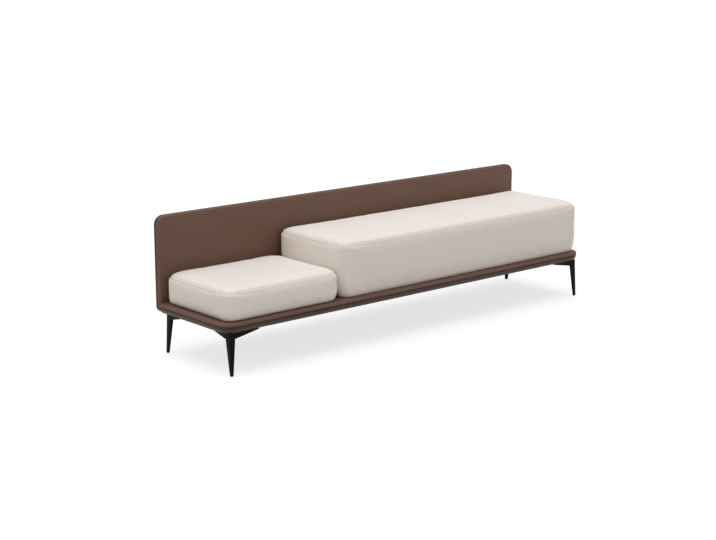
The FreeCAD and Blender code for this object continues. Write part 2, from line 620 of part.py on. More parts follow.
def build_panel():
    """Make the back panel: uprights, board, pads, covers, welt and fasteners."""
    for number, x in enumerate(upright_places, 1):
        body = new_body(f"back_upright_{number}")
        sketch = new_sketch(body, "XZ_Plane", f"-{UPRIGHT_FRONT}")
        top = f"{UPRIGHT_FOOT} + upright_height"
        rectangle(sketch, "-upright_width / 2", "upright_width / 2", UPRIGHT_FOOT, top)
        circles(sketch, [("0", level) for level in board_screw_levels],
                "board_screw_diameter + fit_clearance")
        bolts = [(f"panel_bolt_spacing / 2 * {side}", panel_bolt_level) for side in (-1, 1)]
        circles(sketch, bolts, "panel_bolt_diameter + fit_clearance")
        pad(body, sketch, "upright_thickness", backwards=True)
        place(body, x=x)

    body, _ = panel_plate("back_board", "board_inset", BOARD_FRONT, "board_thickness")
    for diameter, depth in (
        ("board_screw_diameter + hole_clearance", "board_thickness"),
        ("board_screw_head + hole_clearance", "board_screw_head_height"),
    ):
        sketch = new_sketch(body, "XZ_Plane", f"-{BOARD_REAR}")
        circles(sketch, board_screw_spots, diameter)
        pocket(body, sketch, depth, forwards=True)

    pad_front = f"({PANEL_FRONT} + leather_thickness)"
    body, block = panel_plate("back_pad", "leather_thickness", pad_front, "panel_pad_thickness")
    round_edges(body, block, PAD_ROUND, lambda box: near(box.YMax, pad_front))
    sketch = new_sketch(body, "XZ_Plane", f"-{BOARD_FRONT}")
    for x in upright_places:
        half = "(upright_width / 2 + hole_clearance)"
        rectangle(sketch, f"{x} - {half}", f"{x} + {half}", f"{UPRIGHT_FOOT} - hole_clearance",
                  f"{UPRIGHT_FOOT} + upright_height + hole_clearance")
    pocket(body, sketch, "upright_thickness", forwards=True)
    spacer_holes(body, f"-{BOARD_FRONT}", "panel_pad_thickness")

    ring = "welt_diameter + leather_thickness"
    body, _ = panel_plate("back_edge_pad", ring, BOARD_FRONT, "board_thickness")
    sketch = new_sketch(body, "XZ_Plane", f"-{BOARD_REAR}")
    panel_outline(sketch, "board_inset")
    pocket(body, sketch, "board_thickness", forwards=True)

    panel_plate("back_felt", "panel_edge_round", BOARD_REAR, FELT_THICKNESS)

    cover_rear = f"({PANEL_FRONT} + {HALF_PANEL})"
    body, block = panel_plate("back_front_cover", "0", PANEL_FRONT, HALF_PANEL)
    rounded = round_edges(body, block, PANEL_ROUND, lambda box: near(box.YMax, PANEL_FRONT))
    hollow(body, rounded, "leather_thickness", lambda box: near(box.YMin, cover_rear))
    spacer_holes(body, f"-{cover_rear}", HALF_PANEL)

    cover_front = f"({PANEL_MIDDLE} + welt_diameter / 2)"
    body, block = panel_plate("back_rear_cover", "0", cover_front, HALF_PANEL)
    rounded = round_edges(body, block, PANEL_ROUND, lambda box: near(box.YMin, "bench_depth / 2"))
    hollow(body, rounded, "leather_thickness", lambda box: near(box.YMax, cover_front))

    body = new_body("back_welt")
    path = new_sketch(body, "XZ_Plane", f"-{PANEL_MIDDLE}")
    panel_outline(path, "welt_diameter / 2")
    section = new_sketch(body, "YZ_Plane")
    circles(section, [(PANEL_MIDDLE, "bench_height - welt_diameter / 2")], "welt_diameter")
    pipe(body, section, path)

    grip = f"{PANEL_FRONT} - {REAR_RAIL_FRONT} + {UPRIGHT_FRONT} - {PANEL_FRONT} + upright_thickness"
    bolts = [
        screw(spot(x, REAR_RAIL_FRONT, z), Vector(0, 1, 0), "panel_bolt_head", "panel_bolt_head_height",
              "panel_bolt_diameter", grip)
        for x, z in panel_bolt_spots
    ]
    new_feature("back_bolts", Part.makeCompound(bolts))
    spacers = []
    for x, z in panel_bolt_spots:
        start = spot(x, PANEL_FRONT, z)
        length = size(f"{UPRIGHT_FRONT} - {PANEL_FRONT}")
        sleeve = Part.makeCylinder(size("spacer_diameter / 2"), length, start, Vector(0, 1, 0))
        radius = size("(panel_bolt_diameter + hole_clearance) / 2")
        bore = Part.makeCylinder(radius, length, start, Vector(0, 1, 0))
        spacers.append(sleeve.cut(bore))
    new_feature("back_spacers", Part.makeCompound(spacers))
    screws = [
        screw(spot(x, f"{BOARD_REAR} - board_screw_head_height", z), Vector(0, -1, 0), "board_screw_head",
              "board_screw_head_height", "board_screw_diameter",
              "board_thickness - board_screw_head_height + upright_thickness")
        for x, z in board_screw_spots
    ]
    new_feature("board_screws", Part.makeCompound(screws))


def spacer_holes(body, offset, depth):
    """Cut the holes that the spacers pass through, from the rear forwards."""
    sketch = new_sketch(body, "XZ_Plane", offset)
    circles(sketch, panel_bolt_spots, "spacer_diameter + hole_clearance")
    pocket(body, sketch, depth, forwards=True)


def angle_section(sketch, inward_x, inward_y, corner_x, corner_y, width, flange, chamfer):
    """Draw the leg's angle section with its outer ridge cut flat."""
    steps = [(chamfer, "0"), (width, "0"), (width, flange), (flange, flange), (flange, width), ("0", width)]
    steps.append(("0", chamfer))
    polygon(sketch, [
        (f"{corner_x} + {inward_x} * ({along})", f"{corner_y} + {inward_y} * ({across})")
        for along, across in steps
    ])


def build_leg(name, inward_x, inward_y):
    """Make one cast leg with its plate, wings and tapering angle section, and the glide in its foot."""
    body = new_body(f"leg_{name}")
    edge_x = from_end(inward_x, "leg_end_inset")
    edge_y = from_side(inward_y, "leg_front_inset", "leg_rear_inset")
    foot_x = from_end(inward_x, "foot_end_inset")
    foot_y = from_side(inward_y, "foot_front_inset", "foot_rear_inset")

    def along(distance):
        """Give the X that lies inwards of the leg's corner."""
        return f"({edge_x} + {inward_x} * ({distance}))"

    def across(distance):
        """Give the Y that lies inwards of the leg's corner."""
        return f"({edge_y} + {inward_y} * ({distance}))"

    sketch = new_sketch(body, "XY_Plane", PLATE_BOTTOM)
    cut = f"leg_plate_size * {PLATE_CUT_SHARE}"
    outline = [("0", "0"), ("leg_plate_size", "0"), ("leg_plate_size", cut), (cut, "leg_plate_size")]
    outline.append(("0", "leg_plate_size"))
    polygon(sketch, [(along(x), across(y)) for x, y in outline])
    pad(body, sketch, "leg_plate_thickness")
    for role, step, reach, offset, backwards in (
        ("XZ_Plane", along, "wing_reach_long", f"-{edge_y}", inward_y > 0),
        ("YZ_Plane", across, "wing_reach_short", edge_x, inward_x < 0),
    ):
        sketch = new_sketch(body, role, offset)
        shoulder = "base_underside - wing_depth"
        tip = "base_underside - wing_tip_depth"
        polygon(sketch, [
            (step("0"), "base_underside"), (step(reach), "base_underside"), (step(reach), tip),
            (step("flange_width"), shoulder), (step("0"), shoulder),
        ])
        pad(body, sketch, "wing_thickness", backwards=backwards)
    top = new_sketch(body, "XY_Plane", "base_underside")
    shoulder_sizes = ("flange_width", "flange_thickness", "ridge_chamfer")
    angle_section(top, inward_x, inward_y, edge_x, edge_y, *shoulder_sizes)
    foot = new_sketch(body, "XY_Plane", "glide_height")
    corner_x = f"({foot_x} - {inward_x} * foot_width / 2)"
    corner_y = f"({foot_y} - {inward_y} * foot_width / 2)"
    angle_section(foot, inward_x, inward_y, corner_x, corner_y, "foot_width", "foot_flange", "foot_chamfer")
    doc.recompute()
    loft(body, [top, foot])
    sketch = new_sketch(body, "XY_Plane", "glide_height")
    circles(sketch, [(foot_x, foot_y)], "glide_stem_diameter + fit_clearance")
    pocket(body, sketch, "glide_stem_length + fit_clearance", forwards=True)
    sketch = new_sketch(body, "XY_Plane", "base_underside")
    circles(sketch, leg_screw_spots(inward_x, inward_y), "leg_screw_diameter + hole_clearance")
    pocket(body, sketch, "leg_plate_thickness")

    glide = new_body(f"glide_{name}")
    sketch = new_sketch(glide, "XZ_Plane")
    stem_top = "glide_height + glide_stem_length"
    polygon(sketch, [
        ("0", "0"), ("glide_sole_diameter / 2", "0"), ("glide_top_diameter / 2", "glide_height"),
        ("glide_stem_diameter / 2", "glide_height"), ("glide_stem_diameter / 2", stem_top), ("0", stem_top),
    ])
    turned = glide.newObject("PartDesign::Revolution", f"{glide.Label}_turned")
    turned.Profile = sketch
    turned.ReferenceAxis = (sketch, ["V_Axis"])
    place(glide, x=foot_x, y=foot_y)


def build_legs():
    """Make the four legs with their glides and screws."""
    screws = []
    for name, (inward_x, inward_y) in CORNERS.items():
        build_leg(name, inward_x, inward_y)
        reach = "leg_plate_thickness + dust_cover_thickness + leg_screw_bite"
        for x, y in leg_screw_spots(inward_x, inward_y):
            screws.append(screw(spot(x, y, PLATE_BOTTOM), Vector(0, 0, 1), "leg_screw_head",
                                "leg_screw_head_height", "leg_screw_diameter", reach))
    new_feature("leg_screws", Part.makeCompound(screws))


def rounded_wire(left, right, front, rear, front_radius, rear_radius, level):
    """Give a level rounded rectangle as a wire, from sizes in millimetres."""
    inner = [(left + front_radius, front + front_radius, front_radius),
             (right - front_radius, front + front_radius, front_radius),
             (right - rear_radius, rear - rear_radius, rear_radius),
             (left + rear_radius, rear - rear_radius, rear_radius)]
    edges = []
    for i, (x, y, radius) in enumerate(inner):
        angles = [math.pi * (1 + i / 2), math.pi * (1.25 + i / 2), math.pi * (1.5 + i / 2)]
        points = [Vector(x + radius * math.cos(a), y + radius * math.sin(a), level) for a in angles]
        edges.append(Part.Arc(*points).toShape())
    wires = []
    for i, arc in enumerate(edges):
        following = edges[(i + 1) % len(edges)]
        wires.append(arc)
        wires.append(Part.LineSegment(arc.Vertexes[-1].Point, following.Vertexes[0].Point).toShape())
    return Part.Wire(wires)


class Cushion:
    """One boxed cushion: its place on the base and the lofts that its pieces are cut from."""

    def __init__(self, name, left, right, seam_height, zip_end_gap):
        self.name = name
        self.left = size(left)
        self.right = size(right)
        self.front = size("cushion_front_inset - bench_depth / 2")
        self.rear = size(f"{PANEL_FRONT} - cushion_rear_gap")
        self.foot = size(f"{BASE_TOP} + cushion_clearance")
        self.seam = self.foot + size(seam_height)
        self.middle = f"(({left}) + ({right})) / 2"
        self.seam_height = seam_height
        self.rear_radius = f"{name}_rear_radius"
        self.zip_length = f"(({right}) - ({left}) - 2 * {zip_end_gap})"
        self.leather = size("leather_thickness")

    def band(self, skin):
        """Give the upright part, drawn in at the seam and the underside, inside a skin of leather."""
        wires = []
        for share in BAND_LEVEL_SHARES:
            if share < BAND_WIDEST_SHARE:
                lean = (BAND_WIDEST_SHARE - share) / BAND_WIDEST_SHARE
                draw = size("foot_draw") * lean ** DRAW_POWER
            else:
                lean = (share - BAND_WIDEST_SHARE) / (1 - BAND_WIDEST_SHARE)
                draw = size("seam_draw") * lean ** DRAW_POWER
            wires.append(self.section(draw + skin, skin, self.foot + (self.seam - self.foot) * share))
        return Part.makeLoft(wires, True, False)

    def crown(self, skin):
        """Give the crown above the seam, inside a skin of leather."""
        height = size("crown_height")
        reach = size("crown_reach")
        edge = size("seam_draw")
        wires = []
        for share in CROWN_REACH_SHARES:
            rise = height * (1 - (1 - share) ** CROWN_POWER)
            slope = height / reach * CROWN_POWER * (1 - share) ** (CROWN_POWER - 1)
            lean = math.hypot(1, slope)
            if share == 0:
                inset, level = skin * lean / slope, 0
            else:
                inset, level = reach * share + skin * slope / lean, rise - skin / lean
            wires.append(self.section(edge + inset, inset, self.seam + level, 1 - CROWN_CORNER_SHARE * share))
        return Part.makeLoft(wires, True, False)

    def section(self, inset, rear_inset, level, corner_share=1):
        """Give one level section, set in from the widest outline."""
        drawn = min(inset, size("foot_draw") + self.leather)
        radii = [(size(name) - drawn) * corner_share for name in ("cushion_corner_radius", self.rear_radius)]
        return rounded_wire(self.left + inset, self.right - inset, self.front + inset, self.rear - rear_inset,
                            *radii, level)

    def build(self):
        """Make the foam, the topper, the leather and the zip."""
        inside = self.band(self.leather)
        new_feature(f"{self.name}_boxing", self.band(0).cut(inside))
        box = inside.BoundBox
        margin = size("cut_overrun")
        corner = Vector(box.XMin - margin, box.YMin - margin, box.ZMin - margin)
        slab = Part.makeBox(box.XLength + 2 * margin, box.YLength + 2 * margin, margin + self.leather, corner)
        new_feature(f"{self.name}_cover_bottom", inside.common(slab))
        new_feature(f"{self.name}_foam", inside.cut(slab))
        topper = self.crown(self.leather)
        new_feature(f"{self.name}_topper", topper)
        new_feature(f"{self.name}_cover_top", self.crown(0).cut(topper))
        self.build_zip()

    def build_zip(self):
        """Make the zip tape on the flat rear side, and its slider with the pull tab."""
        level = f"({BASE_TOP} + cushion_clearance + {self.seam_height} * {ZIP_LEVEL_SHARE})"
        rear = f"({PANEL_FRONT} - cushion_rear_gap)"
        tape = doc.addObject("Part::Box", f"{self.name}_zip_tape")
        tape.Label = f"{self.name}_zip_tape"
        tape.setExpression("Length", bound(self.zip_length))
        tape.setExpression("Width", bound("zip_tape_thickness"))
        tape.setExpression("Height", bound("zip_tape_height"))
        place(tape, f"{self.middle} - {self.zip_length} / 2", rear, f"{level} - zip_tape_height / 2")
        nodes.append(tape)
        body = new_body(f"{self.name}_zip_slider")
        sketch = new_sketch(body, "XZ_Plane")
        rectangle(sketch, "0", "zip_slider_width", "-zip_slider_height / 2", "zip_slider_height / 2")
        pad(body, sketch, "zip_slider_thickness", backwards=True)
        sketch = new_sketch(body, "XZ_Plane", "zip_pull_thickness - zip_slider_thickness")
        pull = [f"(zip_slider_width {sign} zip_pull_width) / 2" for sign in "-+"]
        rectangle(sketch, *pull, "-zip_slider_height / 2 - zip_pull_length", "zip_slider_height / 2")
        pad(body, sketch, "zip_pull_thickness", backwards=True)
        start = f"{self.middle} - {self.zip_length} / 2"
        place(body, start, f"{rear} + zip_tape_thickness + zip_clearance", level)


def build_cushions():
    """Make the low cushion on the left and the tall one on the right."""
    left = "(cushion_end_inset - bench_length / 2)"
    split = f"({left} + small_cushion_length)"
    right = "(bench_length / 2 - cushion_end_inset)"
    Cushion("small", left, split, "small_seam_height", "small_zip_end_gap").build()
    Cushion("long", f"({split} + cushion_gap)", right, "long_seam_height", "long_zip_end_gap").build()


def write_parts():
    """Check every object of the document, then write each sub-part."""
    doc.recompute()
    for item in doc.Objects:
        if {"Invalid", "Error"} & set(item.State):
            raise RuntimeError(f"{item.Label} failed: {item.State}")
    for node in nodes:
        if node.Shape.isNull() or not node.Shape.isValid() or not node.Shape.Solids:
            raise RuntimeError(f"{node.Label} has no good shape")
    os.makedirs("parts", exist_ok=True)
    for node in nodes:
        node.Shape.exportStep(f"parts/{node.Label}.step")
        box = node.Shape.BoundBox
        extent = f"{box.XLength:.1f} x {box.YLength:.1f} x {box.ZLength:.1f}"
        print(f"{node.Label}: {len(node.Shape.Solids)} solids, {extent}")


build_frame()
build_base_covers()
build_panel()
build_legs()
build_cushions()
write_parts()
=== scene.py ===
"""Looks of a leather bed bench: base, back panel, corner legs and two loose boxed cushions."""

import json
import logging
import math
from collections.abc import Callable, Iterable, Sequence
from dataclasses import dataclass, field
from enum import Enum
from typing import Any, Union

import bpy
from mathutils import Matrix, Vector, noise


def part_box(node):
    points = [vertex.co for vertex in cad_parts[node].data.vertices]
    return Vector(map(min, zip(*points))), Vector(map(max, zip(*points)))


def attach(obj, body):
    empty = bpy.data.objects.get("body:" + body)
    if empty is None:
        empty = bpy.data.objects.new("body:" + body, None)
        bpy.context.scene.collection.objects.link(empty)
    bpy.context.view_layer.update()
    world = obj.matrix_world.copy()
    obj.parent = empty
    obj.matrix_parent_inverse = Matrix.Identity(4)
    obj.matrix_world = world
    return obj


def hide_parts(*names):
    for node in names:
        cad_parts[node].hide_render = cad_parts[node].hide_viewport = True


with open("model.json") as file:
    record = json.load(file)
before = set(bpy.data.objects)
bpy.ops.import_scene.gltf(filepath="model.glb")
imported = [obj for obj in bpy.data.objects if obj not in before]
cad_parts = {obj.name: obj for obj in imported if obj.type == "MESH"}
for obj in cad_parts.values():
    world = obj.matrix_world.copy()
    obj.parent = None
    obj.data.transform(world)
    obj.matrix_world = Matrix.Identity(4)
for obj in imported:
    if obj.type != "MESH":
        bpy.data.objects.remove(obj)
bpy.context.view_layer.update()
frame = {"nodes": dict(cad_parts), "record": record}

Colour = tuple[float, float, float]
Number = Union[float, "Sock"]
Pairs = tuple[tuple[float, float], ...]
log = logging.getLogger("bench")


class Body(Enum):
    """Bodies of the frame that pieces ride on."""

    ROOT = "root"
    SMALL = "small_cushion"
    LONG = "long_cushion"
    SMALL_ZIP = "small_zip"
    LONG_ZIP = "long_zip"


class Slot(Enum):
    """Material slots of the part."""

    BROWN = "brown_leather"
    CREAM = "cream_leather"
    LEGS = "black_legs"
    GLIDES = "glide_nylon"
    STEEL = "frame_steel"
    CAST = "cast_aluminium"
    FASTENERS = "fastener_steel"
    PLYWOOD = "plywood"
    DUST = "dust_cloth"
    ZIP_CLOTH = "zip_cloth"
    ZIP_METAL = "zip_metal"


# Shader graph

class Sock:
    """One output of a material's nodes, with arithmetic that adds Math nodes."""

    def __init__(self, graph: "Graph", socket: bpy.types.NodeSocket | None) -> None:
        """Hold the socket and the graph it belongs to."""
        self.graph = graph
        self.socket = socket

    def __add__(self, other: Number) -> "Sock":
        """Add."""
        return self.graph.math("ADD", self, other)

    def __sub__(self, other: Number) -> "Sock":
        """Subtract."""
        return self.graph.math("SUBTRACT", self, other)

    def __mul__(self, other: Number) -> "Sock":
        """Multiply."""
        return self.graph.math("MULTIPLY", self, other)

    def __rsub__(self, other: Number) -> "Sock":
        """Subtract from a plain number."""
        return self.graph.math("SUBTRACT", other, self)

    __radd__ = __add__
    __rmul__ = __mul__


class Graph:
    """The node tree of one material."""

    def __init__(self, name: str) -> None:
        """Start an empty material."""
        self.material = bpy.data.materials.new(name)
        self.material.use_nodes = True
        self.tree = self.material.node_tree
        self.tree.nodes.clear()

    def add(self, kind: str, settings: dict[str, Any], inputs: dict[str, Any], output: str = "") -> Sock:
        """Add one node.

        Args:
            kind: Blender's type of the node.
            settings: Properties set before the sockets.
            inputs: Values or links by the socket's name or identifier.
            output: Name or identifier of the output wanted, the first one if empty.

        Returns:
            The wanted output.
        """
        node = self.tree.nodes.new(kind)
        for name, value in settings.items():
            setattr(node, name, value)
        for name, value in inputs.items():
            self.feed(next(s for s in node.inputs if s.enabled and name in (s.identifier, s.name)), value)
        named = [s for s in node.outputs if s.enabled and (not output or output in (s.identifier, s.name))]
        return Sock(self, named[0] if named else None)

    def feed(self, socket: bpy.types.NodeSocket, value: Any) -> None:
        """Link an output into an input, or set the input's own value.

        Args:
            socket: The input.
            value: The output or the plain value.
        """
        if isinstance(value, Sock):
            self.tree.links.new(value.socket, socket)
        else:
            socket.default_value = value

    def math(self, operation: str, first: Number, second: Number) -> Sock:
        """Add a Math node.

        Args:
            operation: What it works out.
            first: Its first value.
            second: Its second value.

        Returns:
            The result.
        """
        node = self.tree.nodes.new("ShaderNodeMath")
        node.operation = operation
        for socket, value in zip(node.inputs, (first, second)):
            self.feed(socket, value)
        return Sock(self, node.outputs[0])

    def place(self) -> Sock:
        """Give the point in the object's own frame, in metres."""
        return self.add("ShaderNodeTexCoord", {}, {}, "Object")

    def noise(self, scale: float, detail: float, stretch: tuple[float, float, float]) -> Sock:
        """Give a noise from 0 to 1.

        Args:
            scale: Features per metre.
            detail: Octaves.
            stretch: Factors on the three directions.

        Returns:
            The noise.
        """
        where = self.add("ShaderNodeMapping", {}, {"Vector": self.place(), "Scale": stretch})
        inputs = {"Vector": where, "Scale": scale, "Detail": detail}
        return self.add("ShaderNodeTexNoise", {}, inputs, "Fac")

    def cells(self, scale: float) -> Sock:
        """Give the distance field of a cell pattern with so many cells per metre."""
        return self.add("ShaderNodeTexVoronoi", {}, {"Vector": self.place(), "Scale": scale}, "Distance")

    def blend(self, factor: Number, first: Any, second: Any) -> Sock:
        """Mix two colours."""
        values = {"Factor_Float": factor, "A_Color": first, "B_Color": second}
        return self.add("ShaderNodeMix", {"data_type": "RGBA"}, values, "Result_Color")

    def bump(self, height: Sock) -> Sock:
        """Give the normal of a relief in metres."""
        return self.add("ShaderNodeBump", {}, {"Height": height, "Distance": 1.0, "Strength": 1.0})

    def surface(self, inputs: dict[str, Any]) -> bpy.types.Material:
        """Finish with a Principled surface.

        Args:
            inputs: Values or links of the surface.

        Returns:
            The material.
        """
        shader = self.add("ShaderNodeBsdfPrincipled", {}, inputs)
        self.add("ShaderNodeOutputMaterial", {}, {"Surface": shader})
        return self.material


def rgba(colour: Colour, factor: float = 1.0) -> tuple[float, float, float, float]:
    """Give a colour with alpha, made lighter or darker by a factor."""
    return (colour[0] * factor, colour[1] * factor, colour[2] * factor, 1.0)


# Finishes

@dataclass(frozen=True)
class Texture:
    """A pattern in space: smooth noise, or cells."""

    per_metre: float
    detail: float = 1.0
    stretch: tuple[float, float, float] = (1.0, 1.0, 1.0)
    cells: bool = False

    def on(self, graph: Graph) -> Sock:
        """Add the pattern to a material.

        Args:
            graph: The material's nodes.

        Returns:
            The pattern, from 0 to about 1.
        """
        if self.cells:
            return graph.cells(self.per_metre)
        return graph.noise(self.per_metre, self.detail, self.stretch)


@dataclass(frozen=True)
class Finish:
    """A surface whose colour, roughness and relief follow patterns."""

    name: str
    colour: Colour
    roughness: float
    shades: tuple[tuple[Texture, float], ...]
    reliefs: tuple[tuple[Texture, float], ...]
    darkest: float
    lightest: float
    roughness_spread: float = 0.0
    metallic: float = 0.0
    shine: float = 0.5

    def material(self) -> bpy.types.Material:
        """Make the finish, whose roughness follows the last of its shades.

        Returns:
            Its material.
        """
        graph = Graph(self.name)
        patterns = {texture: texture.on(graph) for texture, _ in self.shades + self.reliefs}
        shade = sum(patterns[texture] * share for texture, share in self.shades)
        relief = sum(patterns[texture] * metres for texture, metres in self.reliefs)
        last = patterns[self.shades[-1][0]]
        dark = rgba(self.colour, self.darkest)
        light = rgba(self.colour, self.lightest)
        return graph.surface({
            "Base Color": graph.blend(shade, dark, light),
            "Metallic": self.metallic,
            "Specular IOR Level": self.shine,
            "Roughness": (last - 0.5) * self.roughness_spread + self.roughness,
            "Normal": graph.bump(relief),
        })


BROAD = Texture(5.0, detail=3.0)
FINE = Texture(90.0, detail=2.0)
GRAIN = Texture(620.0, cells=True)
CREASES = Texture(55.0, detail=3.0, stretch=(1.0, 1.0, 0.55))
SMEAR = Texture(24.0, detail=3.0)
PATCHES = Texture(30.0, detail=3.0)
TWIST = Texture(2600.0, detail=1.0, stretch=(1.0, 1.0, 0.4))
FIBRE = Texture(160.0, detail=4.0, stretch=(0.06, 1.0, 1.0))
PLIES = Texture(420.0, detail=0.0, stretch=(0.0, 0.0, 1.0))


def leather(name: str, colour: Colour, roughness: float, grain: float = 0.00035,
            mottle: float = 0.05) -> Finish:
    """Give a grained and softly creased leather.

    Args:
        name: Its name.
        colour: Its mean colour.
        roughness: Its mean roughness.
        grain: Height of the grain.
        mottle: How far shades differ from the mean colour.

    Returns:
        The finish.
    """
    return Finish(name, colour, roughness, ((BROAD, 0.7), (FINE, 0.3)), ((GRAIN, grain), (CREASES, 0.0006)),
                  darkest=1 - mottle, lightest=1 + mottle, roughness_spread=0.12, shine=0.35)


def coat(name: str, colour: Colour, roughness: float, metallic: float = 0.0, shine: float = 0.5,
         grain: tuple[Texture, float] = (Texture(1500.0), 0.00006)) -> Finish:
    """Give a paint, a plated metal or a plastic.

    Args:
        name: Its name.
        colour: Its mean colour.
        roughness: Its mean roughness.
        metallic: 1 for bare metal.
        shine: Strength of the gloss.
        grain: Texture of the surface, and its height.

    Returns:
        The finish.
    """
    return Finish(name, colour, roughness, ((SMEAR, 1.0),), (grain,), darkest=0.9, lightest=1.1,
                  roughness_spread=0.14, metallic=metallic, shine=shine)


def cloth(name: str, colour: Colour, per_metre: float) -> Finish:
    """Give a woven tape or a bonded cloth with so many threads per metre."""
    weave = Texture(per_metre, cells=True)
    return Finish(name, colour, roughness=0.9, shades=((PATCHES, 0.5), (weave, 0.5)),
                  reliefs=((weave, 0.0003),), darkest=0.75, lightest=1.2)


def thread(name: str, colour: Colour) -> Finish:
    """Give a twisted sewing thread."""
    return Finish(name, colour, roughness=0.6, shades=((TWIST, 1.0),), reliefs=((TWIST, 0.0001),),
                  darkest=0.8, lightest=1.1)


BROWN = leather("brown leather", (0.151, 0.080, 0.054), 0.5, grain=0.0005)
# Rear leather: a darker brown, whose dark tone also paints the shade on the panel's rear edge.
REAR_BROWN_AND_SHADE = leather("rear brown leather and painted shade", (0.056, 0.032, 0.023), 0.6)
# Band leather: its brown is darkened all over as painted shade for the band's downward-turned bottom.
BAND_BROWN_AND_SHADE = leather("band brown leather and painted shade", (0.052, 0.028, 0.018), 0.5)
WELT = leather("dark brown leather", (0.045, 0.024, 0.017), 0.5)
CREAM = leather("cream leather", (0.80, 0.745, 0.695), 0.55, mottle=0.02)
CREAM_THREAD = thread("cream thread", (0.66, 0.59, 0.53))
# Seam cord: a thread colour darkened partly as painted shade in the seam groove.
SEAM_THREAD_AND_SHADE = thread("seam thread and painted shade", (0.38, 0.31, 0.26))
BLACK_COAT = coat("black powder coat", (0.004, 0.004, 0.0045), 0.5, shine=0.08)
NYLON = coat("black nylon", (0.02, 0.02, 0.02), 0.6)
STEEL_COAT = coat("painted steel", (0.06, 0.06, 0.065), 0.55)
CAST = coat("cast aluminium", (0.6, 0.6, 0.6), 0.5, metallic=1.0, grain=(Texture(500.0), 0.0002))
ZINC = coat("zinc plate", (0.55, 0.55, 0.56), 0.35, metallic=1.0)
NICKEL = coat("nickel plate", (0.5, 0.49, 0.47), 0.3, metallic=1.0)
PLYWOOD = Finish("plywood", (0.62, 0.47, 0.3), roughness=0.72, shades=((FIBRE, 0.6), (PLIES, 0.4)),
                 reliefs=((FIBRE, 0.0002),), darkest=0.6, lightest=1.15)
DUST_CLOTH = cloth("bonded cloth", (0.022, 0.022, 0.023), 900.0)
TAPE_CLOTH = cloth("zip tape", (0.66, 0.6, 0.54), 1800.0)


class Palette:
    """Materials made once and shared by the pieces."""

    def __init__(self) -> None:
        """Start with no materials."""
        self.made: dict[str, bpy.types.Material] = {}

    def of(self, finish: Finish) -> bpy.types.Material:
        """Give the material of a finish, made at its first use.

        Args:
            finish: The finish.

        Returns:
            Its material.
        """
        if finish.name not in self.made:
            self.made[finish.name] = finish.material()
        return self.made[finish.name]


PALETTE = Palette()


# Meshes

# A direction that no cord, stitch or tooth runs along, to turn the sections of tubes by
ODD_WAY = Vector((0.31, 0.17, 0.93))


